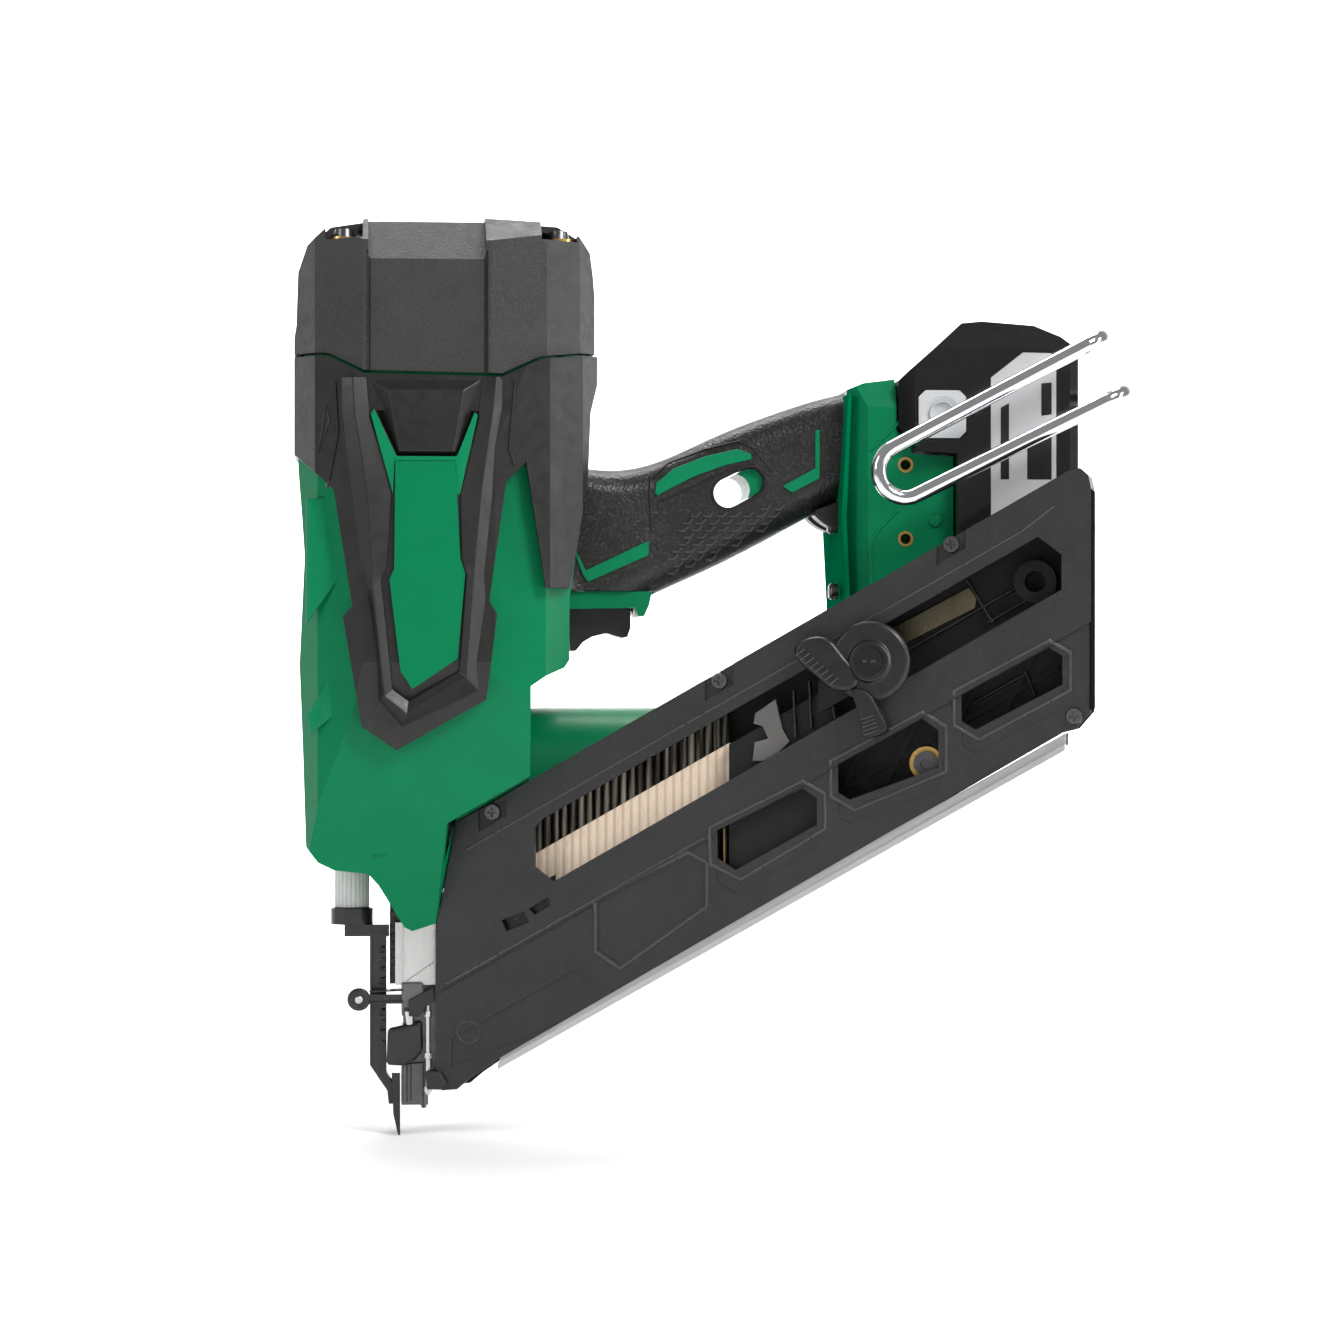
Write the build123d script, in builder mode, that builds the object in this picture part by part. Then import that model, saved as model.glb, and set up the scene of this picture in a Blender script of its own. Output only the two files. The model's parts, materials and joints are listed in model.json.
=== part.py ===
from build123d import *
import os
from math import cos, sin, tan, pi, radians

# Battery framing nailer, millimetres. +Z is up, +X runs from the nose towards the battery, -Y is the
# tool's left side. The origin is on the drive axis, at the level of the lowest probe tooth.

# ---- driving dimensions ------------------------------------------------------------------------
WALL = 2.6                  # moulded housing wall
GAP = 0.4                   # gap between bodies that move past each other
CAP_HALF = 50.0             # half width of the top cap
HEAD_HALF = 47.0            # half width of the head
ARMOUR_HALF = 52.5          # half width over the side armour
BADGE_HALF = 54.0           # half width over the raised badge
SEAM_Z = 290.0              # seam between cap and head, in the middle of each side
ROOF_Z = 350.0              # top of the cap

GRIP_TILT = 27.0            # slope of the handle
GRIP_WIDTH = 36.0

SHAFT_Y, SHAFT_Z = 30.0, 136.0   # axis of motor, gear set and lifter wheel, parallel to X
CASE_R = 28.0               # motor case radius
CASE_END = 164.5            # rear end of the motor case

BASE_HALF = 30.0            # half width of the battery base
BASE_FRONT, BASE_BACK, BASE_STEP = 165.0, 206.0, 184.0
BASE_LOW, BASE_STEP_Z, BASE_TOP = 130.0, 262.0, 291.0

PACK_HALF = 37.5            # half width of the battery pack
PACK_BACK, PACK_LOW, PACK_TOP = 254.0, 196.0, 313.0

BORE_R = 28.0               # cylinder bore
CYL_R = 31.0                # cylinder outside
PISTON_Z, PISTON_T = 284.0, 14.0  # underside at rest, and thickness
BLADE_TIP = 104.0           # lower end of the driver blade at rest
BLADE_X, BLADE_Y = 1.5, 5.0 # half thickness and half width of the blade

MAG_YAW = 15.0              # the magazine leans to the left towards its rear
MAG_TILT = 29.6             # and climbs at this angle
MAG_NEAR, MAG_FAR, MAG_WALL = 14.5, -11.0, 2.6
NAIL_R, NAIL_HEAD_R, NAIL_LEN, NAIL_PITCH = 1.45, 3.5, 83.0, 3.3
NAIL_COUNT = 36
FIRST_NAIL = 6.6            # the strip waits just behind the driver blade
RISE = tan(radians(MAG_TILT))

MODULE = 0.9                # gear module of the planetary set
SUN_TEETH, PLANET_TEETH, RING_TEETH = 12, 18, 48
MOTOR_SHAFT_R, CARRIER_SHAFT_R = 2.5, 4.0
MOTOR_BEARING_R, CARRIER_BEARING_R = 8.0, 11.0

HOOK_WIRE_R = 3.0
HOOK_SLOPE = 27.1           # slope of the loop's middle line
HOOK_SPREAD = 0.8           # each wire leaves the loop at this angle from that line
HOOK_NEAR, HOOK_FAR = -58.0, 45.0

SIDE = Plane.XZ             # local x = X, local y = Z, normal -Y
FRONT = Plane.YZ            # local x = Y, local y = Z, normal +X
MAG = Plane(
    origin=(0, 0, 0),
    x_dir=(cos(radians(MAG_YAW)), -sin(radians(MAG_YAW)), 0),
    z_dir=(-sin(radians(MAG_YAW)), -cos(radians(MAG_YAW)), 0),
)                           # local x = distance along the magazine, local y = Z, normal outwards left
SHAFT = Plane(origin=(0, SHAFT_Y, SHAFT_Z), x_dir=(0, 1, 0), z_dir=(1, 0, 0))

FULL = 120.0                # half length that is longer than any part is wide

PARTS = {}
SCREWS = []                 # all the screws share one node
WASHERS = []


# ---- helpers -----------------------------------------------------------------------------------
def keep(name, part):
    """Register a finished piece under its node name."""
    part.label = name
    PARTS[name] = part


def prism(plane, points, low, high):
    """A closed outline extruded between two heights above its plane."""
    with BuildPart() as body:
        with BuildSketch(plane.offset(low)):
            Polygon(*points, align=None)
        extrude(amount=high - low)
    return body.part


def rod(plane, radius, low, high, hole=0.0, at=(0, 0)):
    """A round bar, or a tube when hole is given, along the plane's normal."""
    with BuildPart() as body:
        with BuildSketch(plane.offset(low)):
            with Locations(at):
                Circle(radius)
                if hole:
                    Circle(hole, mode=Mode.SUBTRACT)
        extrude(amount=high - low)
    return body.part


def joined(*pieces):
    """Fuse pieces that are moulded or welded as one."""
    with BuildPart() as body:
        for piece in pieces:
            add(piece)
    return body.part


def cut(piece, *tools):
    """Take the tools out of the piece."""
    with BuildPart() as body:
        add(piece)
        for tool in tools:
            add(tool, mode=Mode.SUBTRACT)
    return body.part


def common(piece, tool):
    """What two shapes share."""
    with BuildPart() as body:
        add(piece)
        add(tool, mode=Mode.INTERSECT)
    return body.part


def half(piece, side):
    """The left or right half of a housing that is split along the middle."""
    with BuildPart() as body:
        add(piece)
        split(bisect_by=SIDE, keep=Keep.TOP if side == "left" else Keep.BOTTOM)
    return body.part


def box_at(low, high):
    """A block between two corners."""
    with BuildPart() as body:
        with Locations([((low[0] + high[0]) / 2, (low[1] + high[1]) / 2, (low[2] + high[2]) / 2)]):
            Box(high[0] - low[0], high[1] - low[1], high[2] - low[2])
    return body.part


def moulding(side, front, plan, inset=0.0):
    """The shape that three outlines share, seen from the side, the front and above."""
    with BuildPart() as body:
        with BuildSketch(SIDE):
            Polygon(*side, align=None)
            if inset:
                offset(amount=-inset, kind=Kind.INTERSECTION)
        extrude(amount=FULL, both=True)
        with BuildSketch(FRONT):
            Polygon(*front, align=None)
            if inset:
                offset(amount=-inset, kind=Kind.INTERSECTION)
        extrude(amount=3 * FULL, both=True, mode=Mode.INTERSECT)
        with BuildSketch(Plane.XY):
            Polygon(*plan, align=None)
            if inset:
                offset(amount=-inset, kind=Kind.INTERSECTION)
        extrude(amount=4 * FULL, both=True, mode=Mode.INTERSECT)
    return body.part


def mirrored(points):
    """An outline in (across, along) given for one side, completed on the other."""
    return points + [(-a, b) for a, b in reversed(points)]


def grip_point(along, across):
    """X and Z of a point given along and across the handle's slope."""
    a = radians(GRIP_TILT)
    return along * cos(a) - across * sin(a), along * sin(a) + across * cos(a)


def screw(plane, at, head_z, length, radius=2.0, head_r=3.6, head_h=2.6):
    """A pan-head screw with a cross recess, its head's underside at head_z along the normal."""
    with BuildPart() as body:
        with BuildSketch(plane.offset(head_z)):
            with Locations(at):
                Circle(head_r)
        extrude(amount=head_h, taper=12)
        with BuildSketch(plane.offset(head_z - length)):
            with Locations(at):
                Circle(radius)
        extrude(amount=length)
        with BuildSketch(plane.offset(head_z + head_h - 1.4)):
            with Locations(at):
                Rectangle(head_r * 1.1, 0.9)
                Rectangle(0.9, head_r * 1.1)
        extrude(amount=2, mode=Mode.SUBTRACT)
    return body.part


def gear_points(teeth, low_r, high_r, share, phase=0.0):
    """A straight-flanked gear outline; share is the lobe's part of the pitch."""
    points = []
    for tooth in range(teeth):
        middle = phase + 2 * pi * tooth / teeth
        lobe = share * pi / teeth
        for radius, angle in ((low_r, -1.35 * lobe), (high_r, -0.65 * lobe),
                              (high_r, 0.65 * lobe), (low_r, 1.35 * lobe)):
            points.append((radius * cos(middle + angle), radius * sin(middle + angle)))
    return points


# ---- head --------------------------------------------------------------------------------------
# the seam between cap and head, front to back: low along the middle and higher at the corners
SEAM = [(-47, SEAM_Z + 8), (-33, SEAM_Z + 7), (-20, SEAM_Z), (32, SEAM_Z - 1), (46, SEAM_Z + 5.5),
        (70, SEAM_Z + 9)]
COLLAR_Z = SEAM_Z + 13      # top of the head's collar, inside the cap
CAP_SPOTS = [(x, y) for x in (-27, 54) for y in (-33, 33)]
HEAD_SIDE = [
    (-42.3, COLLAR_Z), (-42.3, SEAM_Z - 3), (-44.5, SEAM_Z - 5), (-44.5, 256), (-43, 237), (-42, 222),
    (-44, 181), (-42.8, 152), (-41.5, 112),
    (-37, 106), (-31, 103), (-18, 101.5), (-14, 97), (-4, 80.5), (-1, 79), (8, 82), (12, 100),
    (18, 121), (43, 135.5), (43, 173), (49, 177), (56, 180), (58, 183), (58, 206), (61.5, 230),
    (65, 255), (65.5, 277), (67.5, SEAM_Z - 5), (65.2, SEAM_Z - 3), (65.2, COLLAR_Z),
]
HEAD_FRONT = mirrored([
    (HEAD_HALF, COLLAR_Z), (HEAD_HALF, 178), (40, 150), (33, 125), (24, 100), (15, 78),
])


def head_plan(half_width, front, back):
    """The head from above: two facets round each corner, longer at the front."""
    return [(along, across) for across, along in mirrored([
        (half_width * 0.4, front), (half_width * 0.72, front + 8), (half_width, front + 26),
        (half_width, back - 40.5), (half_width - 4, back - 19.5), (half_width * 0.72, back - 6.5),
        (half_width * 0.44, back),
    ])]


# the black armour's outline on the side of the head: an upper collar that narrows to a V
ARMOUR_SIDE = SEAM[::-1] + [
    (-47, 262), (-31, 247), (-24, 203), (-27.5, 199), (-20.5, 158), (-7.5, 149),
    (26, 168), (30, 200), (27, 205), (33.5, 250), (41, 257), (48.3, 210), (57.8, 210),
    (61.5, 230), (65.5, 255), (66.5, 277), (69.5, SEAM_Z - 2),
]
BADGE_SIDE = [
    (-8, 257), (14.3, 257), (16.2, 220.6), (18, 215), (15.1, 183.3), (-1.7, 172), (-6.1, 178.8),
    (-10.2, 213), (-8.4, 216.8),
]


def head_shape(inset=0.0):
    return moulding(HEAD_SIDE, HEAD_FRONT, head_plan(HEAD_HALF, -45, 68.2), inset)


def armour_shape():
    """The head's own shape grown sideways, within the armour's outline."""
    front = mirrored([
        (ARMOUR_HALF - 3, SEAM_Z + 12), (ARMOUR_HALF, 262), (ARMOUR_HALF, 182), (ARMOUR_HALF - 7, 146),
    ])
    return moulding(ARMOUR_SIDE, front, head_plan(ARMOUR_HALF, -46, 69.5))


def gear_bump(radius, front, back):
    """The round bulge on the right of the head that covers the lifter and the gears."""
    return cut(rod(SHAFT, radius, front, back), box_at((-60, -60, 60), (60, 7, 220)))


def make_head():
    inner = head_shape(WALL)
    lifter_room = rod(SHAFT, CASE_R + 0.4, -17, 60)
    nose_door = box_at((-13.5, -12, 60), (16, 12, 112))
    adjuster_door = rod(Plane.XY, 7.4, 90, 112, at=(-24, 0))
    mouth = prism(Plane.XY, head_plan(44.2, -40.2, 62.7), SEAM_Z - 10, COLLAR_Z + 1)
    ledge = prism(Plane.XY, head_plan(HEAD_HALF, -43, 65.5), SEAM_Z - 6, COLLAR_Z)
    rim = box_at((-60, -60, SEAM_Z - 6), (80, 60, COLLAR_Z + 1))
    shell = cut(joined(head_shape(), gear_bump(CASE_R + 3, -20, 43)),
                inner, lifter_room, nose_door, adjuster_door, mouth, cut(rim, ledge), *magazine_clearance())
    posts = [cut(rod(Plane.XY, 4.6, 240, 329.6, at=spot), rod(Plane.XY, 1.9, 310, 340, at=spot))
             for spot in CAP_SPOTS]
    shell = joined(shell, *posts)
    for side in ("left", "right"):
        keep(f"head_shell_{side}", half(shell, side))


def magazine_clearance():
    """The space that the head leaves for the magazine's front end."""
    with BuildPart() as room:
        with BuildSketch(MAG.offset(MAG_FAR - 1)):
            Polygon(*MAG_OUTLINE, align=None)
            offset(amount=0.6)
        extrude(amount=80)
    return [room.part]


def make_armour():
    panel_cut = [
        prism(SIDE, [(-15, 276), (26, 276), (14.4, 259), (-7.2, 259)], sign * (ARMOUR_HALF - 3.5),
              sign * FULL)
        for sign in (1, -1)
    ]
    badges = []
    armour = cut(armour_shape(), head_shape(), gear_bump(CASE_R + 3.4, -21, 44), *panel_cut)
    for side in ("left", "right"):
        sign = 1 if side == "left" else -1
        whole = half(armour, side)
        low, high = sorted((sign * (HEAD_HALF + 2.2), sign * BADGE_HALF))
        badge = prism(SIDE, BADGE_SIDE, low, high)
        keep(f"head_armour_{side}", cut(whole, badge))
        badges.append(badge)
    keep("badges", Compound(children=badges))


# ---- cap ---------------------------------------------------------------------------------------
CAP_GAP = 1.3               # the seam's width
CAP_SIDE = [(x, z + CAP_GAP) for x, z in SEAM] + [
    (68, 328), (66.5, 338), (62, 343), (54, 348), (24, ROOF_Z), (-13, ROOF_Z), (-32, 347),
    (-41, 339.5), (-44.5, 330), (-45.2, 310),
]
CAP_FRONT = mirrored([
    (CAP_HALF, SEAM_Z - 5), (CAP_HALF, ROOF_Z - 10), (CAP_HALF - 14, ROOF_Z),
])
PANEL_FRONT, PANEL_BACK = -18.0, 26.0   # the recessed panel in the middle of each side
PANEL_DEPTH = 1.3


def cap_shape(inset=0.0):
    return moulding(CAP_SIDE, CAP_FRONT, head_plan(CAP_HALF, -46, 68.5), inset)


def beyond_panels(inset=0.0):
    """What the recessed middle panels take off the sides and the roof, or off the room behind them."""
    side, roof = CAP_HALF - PANEL_DEPTH - inset, ROOF_Z - PANEL_DEPTH - inset
    low, inner = ROOF_Z - 17 - 0.41 * inset, CAP_HALF - 17 - 0.41 * inset
    outline = [(side, SEAM_Z - 5), (side, low), (inner, roof), (-FULL, roof), (-FULL, ROOF_Z + 10),
               (FULL, ROOF_Z + 10), (FULL, SEAM_Z - 5)]
    return [prism(FRONT, [(sign * y, z) for y, z in outline], PANEL_FRONT - inset, PANEL_BACK + inset)
            for sign in (1, -1)]


def make_cap():
    mouth = prism(Plane.XY, head_plan(CAP_HALF - WALL, -43.4, 65.9), SEAM_Z - 10, COLLAR_Z + 3)
    shell = cut(cap_shape(), cut(cap_shape(WALL), *beyond_panels(WALL)), mouth)
    floors = [cut(common(rod(Plane.XY, 9.5, 330, 341, at=spot), cap_shape()),
                  rod(Plane.XY, 42.5, 300, 400, at=(8, 0)))
              for spot in CAP_SPOTS]
    grooves = [
        box_at((x - 0.8, low, SEAM_Z - 4), (x + 0.8, low + 3, ROOF_Z - 14))
        for x in (PANEL_FRONT, PANEL_BACK) for low in (CAP_HALF - 2, -CAP_HALF - 1)
    ]
    pockets = [box_at((x - 7, min(y * 0.8, y * 2), 341), (x + 7, max(y * 0.8, y * 2), ROOF_Z + 2))
               for x, y in CAP_SPOTS]
    bores = [rod(Plane.XY, 2.2, 320, 345, at=spot) for spot in CAP_SPOTS]
    keep("cap", cut(joined(shell, *floors), *grooves, *beyond_panels(), *pockets, *bores))
    SCREWS.extend(screw(Plane.XY, spot, 342.2, 26, 2.1, 4.2, 3.2) for spot in CAP_SPOTS)
    WASHERS.extend(rod(Plane.XY, 6.0, 341, 342.2, 2.3, spot) for spot in CAP_SPOTS)


# ---- handle and trigger ------------------------------------------------------------------------
# stations along the handle's slope: distance along, lower and upper edge across, width
GRIP_STATIONS = [(148, 143, 214, 40), (166, 143.5, 206, 39), (181, 143.6, 195.5, 38),
                 (193, 143, 190.5, GRIP_WIDTH), (214, 142.5, 188, GRIP_WIDTH),
                 (240, 143, 186.4, GRIP_WIDTH), (262, 142.5, 183.4, GRIP_WIDTH),
                 (277, 138.5, 180.2, 38), (290, 132, 177.5, 40)]
LOCK_CENTRE = (124.6, 249.4)
LOCK_LENGTH, LOCK_HEIGHT, LOCK_KNOB = 20.6, 11.2, 12.6
LOCK_RECESS = 2.6           # how far the lock lies below the handle's sides
TRIGGER_PIN = (63.5, 209.0)
TRIGGER_BAR = [(58.1, 202.5), (58.2, 206), (58.7, 209.3), (91, 209.3), (90, 204.4), (88, 199.8),
               (85.8, 199.8), (84.5, 203)]
TRIGGER_BLOCK = [(58.8, 209), (59.8, 214), (62.2, 228), (76, 217.5), (84, 217), (84, 209)]
BAR_HALF, BLOCK_HALF = 17.0, 11.6   # half widths of the bar and of the block inside the handle


def grip_shape(inset=0.0):
    """The handle's form, lofted through rounded sections square to its slope."""
    a = radians(GRIP_TILT)
    with BuildPart() as body:
        for along, low, high, width in GRIP_STATIONS:
            x, z = grip_point(along, (low + high) / 2)
            section = Plane(origin=(x, 0, z), x_dir=(0, 1, 0), z_dir=(cos(a), 0, sin(a)))
            with BuildSketch(section):
                RectangleRounded(width - 2 * inset, high - low - 2 * inset, 11 - inset)
        loft()
    return body.part


def slot_shape(length, height, half_width, shift=0.0):
    """An oblong along the handle's slope, right through the handle."""
    a = radians(GRIP_TILT)
    with BuildPart() as body:
        centre = (LOCK_CENTRE[0] + shift * cos(a), LOCK_CENTRE[1] + shift * sin(a))
        with BuildSketch(SIDE):
            with Locations(centre):
                SlotOverall(length, height, rotation=GRIP_TILT)
        extrude(amount=half_width, both=True)
    return body.part


def make_handle():
    neighbours = [head_shape(), armour_shape(), base_shape(), prism(SIDE, TRIGGER_BAR, -FULL, FULL),
                  box_at((20, -60, 100), (92, 60, 209.6)), box_at((173, -60, 100), (250, 60, 350))]
    shell = cut(grip_shape(), common(grip_shape(WALL), box_at((40, -60, 100), (300, 60, 400))))
    tube = common(slot_shape(LOCK_LENGTH + 3.2, LOCK_HEIGHT + 3.2, 30), grip_shape())
    handle = cut(joined(shell, tube), slot_shape(LOCK_LENGTH, LOCK_HEIGHT, 40), *neighbours)
    for side in ("left", "right"):
        keep(f"handle_{side}", half(handle, side))
    end = (LOCK_LENGTH - LOCK_KNOB) / 2 - GAP
    slider = slot_shape(LOCK_KNOB, LOCK_HEIGHT - 2 * GAP, GRIP_WIDTH / 2 - LOCK_RECESS, end)
    finger_notch = slot_shape(16, LOCK_HEIGHT + 1, GRIP_WIDTH, end - 7.4)
    keep("trigger_lock", cut(slider, finger_notch))


def make_trigger():
    housing = joined(prism(SIDE, TRIGGER_BAR, -BAR_HALF, BAR_HALF),
                     prism(SIDE, TRIGGER_BLOCK, -BLOCK_HALF, BLOCK_HALF))
    room = prism(SIDE, [(58, 190), (58, 213.5), (85.5, 213.5), (85.5, 190)], -9.2, 9.2)
    switch = ((69, -6, 214.2), (80, 6, 222))
    pin_hole = rod(SIDE, 1.5, -15, 15, at=TRIGGER_PIN)
    switch_room = box_at((68.7, -6.3, 213), (80.3, 6.3, 230))
    keep("trigger_housing", cut(housing, room, pin_hole, switch_room))
    keep("trigger_pin", rod(SIDE, 1.5, -15, 15, at=TRIGGER_PIN))
    outline = [(58.9, 195.4), (59.2, 205), (60.5, 211.5), (66.5, 211.5), (68, 206.5), (83.4, 205),
               (83.4, 195.4), (82.2, 191.9), (80.2, 191.4), (74.2, 193.3), (68.4, 191.9),
               (64.9, 189.8), (62.2, 186.5), (60.2, 186.2)]
    with BuildPart() as trigger:
        with BuildSketch(SIDE.offset(-8.5)):
            Polygon(*outline, align=None)
            fillet(vertices().sort_by(Axis.Y)[:2], 0.7)
        extrude(amount=17)
        with BuildSketch(SIDE.offset(-10)):
            with Locations(TRIGGER_PIN):
                Circle(1.55)
        extrude(amount=20, mode=Mode.SUBTRACT)
    keep("trigger", trigger.part)
    keep("trigger_switch", box_at(*switch))


# ---- battery base ------------------------------------------------------------------------------
BASE_SIDE = [(BASE_FRONT, BASE_LOW), (BASE_FRONT, 205), (163.3, 238), (165.8, 287), (172, 289.5),
             (BASE_STEP, BASE_TOP), (BASE_STEP, BASE_STEP_Z + 9), (BASE_STEP + 6.5, BASE_STEP_Z),
             (BASE_BACK, BASE_STEP_Z - 1), (BASE_BACK, BASE_LOW)]
BASE_FRONT_VIEW = mirrored([(24, BASE_TOP + 1), (BASE_HALF, 280), (BASE_HALF, BASE_LOW + 6),
                            (BASE_HALF - 8, BASE_LOW)])
INSERT_X, INSERT_LOW, INSERT_HIGH, INSERT_R = 187.5, 229.4, 257.8, 2.0
RAIL_LOW, RAIL_HIGH = 204.0, 256.0


def base_shape(inset=0.0):
    plan = [(162, -19), (173, -BASE_HALF), (BASE_BACK, -BASE_HALF), (BASE_BACK, BASE_HALF),
            (173, BASE_HALF), (162, 19)]
    return moulding(BASE_SIDE, BASE_FRONT_VIEW, plan, inset)


def make_base():
    bosses = [
        rod(SIDE, 4.6, *sorted((sign * 19, sign * (BASE_HALF - 0.5))), at=(INSERT_X, z))
        for sign in (1, -1) for z in (INSERT_LOW, INSERT_HIGH)
    ]
    insert_holes = [
        rod(SIDE, 3.0, *sorted((sign * 20, sign * (BASE_HALF + 2))), at=(INSERT_X, z))
        for sign in (1, -1) for z in (INSERT_LOW, INSERT_HIGH)
    ]
    handle_mouth = common(grip_shape(WALL + 0.4), box_at((150, -60, 200), (176, 60, 300)))
    shell = joined(cut(base_shape(), base_shape(WALL)), *[common(boss, base_shape()) for boss in bosses],
                   *battery_rails(), magazine_arm())
    shell = cut(shell, handle_mouth, rod(MAG, 2.55, -29, 20, at=BRACKET_BOLT), *insert_holes)
    for side in ("left", "right"):
        keep(f"base_{side}", half(shell, side))
    inserts = [
        rod(SIDE, 3.0, *sorted((sign * 20, sign * (BASE_HALF + 0.3))), hole=INSERT_R, at=(INSERT_X, z))
        for sign in (1, -1) for z in (INSERT_LOW, INSERT_HIGH)
    ]
    keep("threaded_inserts", Compound(children=inserts))
    block = joined(box_at((BASE_BACK, -11, 215), (BASE_BACK + 2.5, 11, 250)),
                   *[box_at((BASE_BACK + 2, y - 0.4, 218), (BASE_BACK + 7, y + 0.4, 236))
                     for y in (-8, -4, 0, 4, 8)])
    keep("battery_terminals", block)
    keep("control_board", box_at((176, -24, 136), (177.6, 24, 212)))


def battery_rails():
    """Two L-shaped rails that the pack slides down on."""
    return [
        prism(Plane.XY, [(BASE_BACK - 1, sign * 17), (BASE_BACK + 3, sign * 17), (BASE_BACK + 3, sign * 14),
                         (BASE_BACK + 6, sign * 14), (BASE_BACK + 6, sign * 22),
                         (BASE_BACK - 1, sign * 22)],
              RAIL_LOW, RAIL_HIGH)
        for sign in (1, -1)
    ]


def magazine_arm():
    """The arm on the base's left side that carries the magazine's rear end."""
    foot = MAG.from_local_coords((BRACKET_BOLT[0], BRACKET_BOLT[1], MAG_FAR))
    block = box_at((foot.X - 9, foot.Y - 20, foot.Z - 8), (foot.X + 9, -BASE_HALF + 1, foot.Z + 8))
    limit = prism(MAG, [(100, 0), (300, 0), (300, 300), (100, 300)], MAG_FAR, 60)
    return cut(block, limit)


# ---- motor and gear train ----------------------------------------------------------------------
def shaft_spoke(x, angle):
    """A plane across the shaft at x, turned so that its local x points outwards at the angle."""
    return Plane(origin=(x, SHAFT_Y, SHAFT_Z), x_dir=(0, cos(angle), sin(angle)), z_dir=(1, 0, 0))


def turns(count):
    """Evenly spaced angles round the shaft."""
    return [2 * pi * k / count for k in range(count)]


def make_motor_case():
    bearing_seats = [rod(SHAFT, CASE_R - 1, 45, 50, MOTOR_BEARING_R),
                     rod(SHAFT, CASE_R - 1, 127, 131, MOTOR_BEARING_R)]
    case = joined(cut(rod(SHAFT, CASE_R, 43.3, CASE_END), rod(SHAFT, CASE_R - WALL, 43, CASE_END - 3)),
                  *bearing_seats)
    slots = [box_at((x, SHAFT_Y, 125), (x + 3, 60, 147)) for x in range(133, 161, 6)]
    inner = rod(SHAFT, CASE_R - WALL - 0.2, 100, 170)
    case = cut(case, *[cut(slot, inner) for slot in slots])
    for side in ("left", "right"):
        with BuildPart() as shell:
            add(case)
            split(bisect_by=SIDE.offset(-SHAFT_Y), keep=Keep.TOP if side == "left" else Keep.BOTTOM)
        keep(f"motor_case_{side}", shell.part)


def make_gear_case():
    case = joined(
        cut(rod(SHAFT, CASE_R, -8.6, 43), rod(SHAFT, CASE_R - 2.2, -9, 22), rod(SHAFT, 24.9, 21, 44)),
        rod(SHAFT, CASE_R - 1, 10, 17, CARRIER_BEARING_R))
    blade_window = box_at((-9, -10, 100), (9, 9.4, 170))
    keep("gear_case", cut(case, blade_window))


def make_frame():
    """The casting behind the nose: it carries the gear case,
    the cylinder's flange and the probe spring's seat."""
    web = prism(FRONT, [(-12, 104), (12, 104), (20, 124), (24, 166), (-24, 166), (-20, 124)], -16, -9)
    spring_seat = cut(box_at((-32, -7, 118.4), (-15, 7, 122)), rod(Plane.XY, 3.4, 110, 130, at=ADJUSTER_AT))
    flange = rod(Plane.XY, 33, 165, 168)
    blade_hole = rod(Plane.XY, 9, 150, 170)
    keep("main_frame", cut(joined(rod(SHAFT, CASE_R - 0.5, -16, -9), web, flange, spring_seat),
                           rod(SHAFT, MOTOR_BEARING_R, -20, -5), blade_hole))


def make_bearings():
    rings = [rod(SHAFT, MOTOR_BEARING_R, -15, -10, CARRIER_SHAFT_R),
             rod(SHAFT, CARRIER_BEARING_R, 10, 17, CARRIER_SHAFT_R),
             rod(SHAFT, MOTOR_BEARING_R, 127, 132, MOTOR_SHAFT_R),
             rod(SHAFT, MOTOR_BEARING_R, 45, 50, MOTOR_SHAFT_R)]
    keep("bearings", Compound(children=rings))


def make_lifter():
    """The wheel whose pins lift the blade; they lie clear of it in this resting position."""
    pins = [rod(SHAFT, 1.8, -3, 3.5, at=(22 * cos(radians(a)), 22 * sin(radians(a))))
            for a in range(30, 331, 30)]
    wheel = joined(cut(rod(SHAFT, 24, 3.5, 7), rod(SHAFT, CARRIER_SHAFT_R, 0, 20)), *pins)
    keep("lifter_wheel", wheel)


def make_gears():
    """The planetary set: carrier with three posts, three planets, and the fixed ring."""
    centre_r = MODULE * (SUN_TEETH + PLANET_TEETH) / 2
    planet_r, ring_r = MODULE * PLANET_TEETH / 2, MODULE * RING_TEETH / 2
    posts = [rod(SHAFT, 2.5, 23, 34, at=(centre_r * cos(a), centre_r * sin(a))) for a in turns(3)]
    keep("planet_carrier", joined(rod(SHAFT, CARRIER_SHAFT_R - 0.05, -15, 22),
                                  rod(SHAFT, 20.5, 21, 24), *posts))
    with BuildPart() as ring:
        with BuildSketch(SHAFT.offset(24.5)):
            Circle(24.8)
            Polygon(*gear_points(RING_TEETH, ring_r - 0.7, ring_r + 1.0, 0.56), align=None,
                    mode=Mode.SUBTRACT)
        extrude(amount=10)
    keep("ring_gear", ring.part)
    for number, angle in enumerate(turns(3), start=1):
        middle = Plane(origin=(25, SHAFT_Y + centre_r * cos(angle), SHAFT_Z + centre_r * sin(angle)),
                       x_dir=(0, cos(angle), sin(angle)), z_dir=(1, 0, 0))
        with BuildPart() as planet:
            with BuildSketch(middle):
                Polygon(*gear_points(PLANET_TEETH, planet_r - 1.0, planet_r + 0.7, 0.42), align=None)
                Circle(2.55, mode=Mode.SUBTRACT)
            extrude(amount=8.5)
        keep(f"planet_gear_{number}", planet.part)


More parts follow.
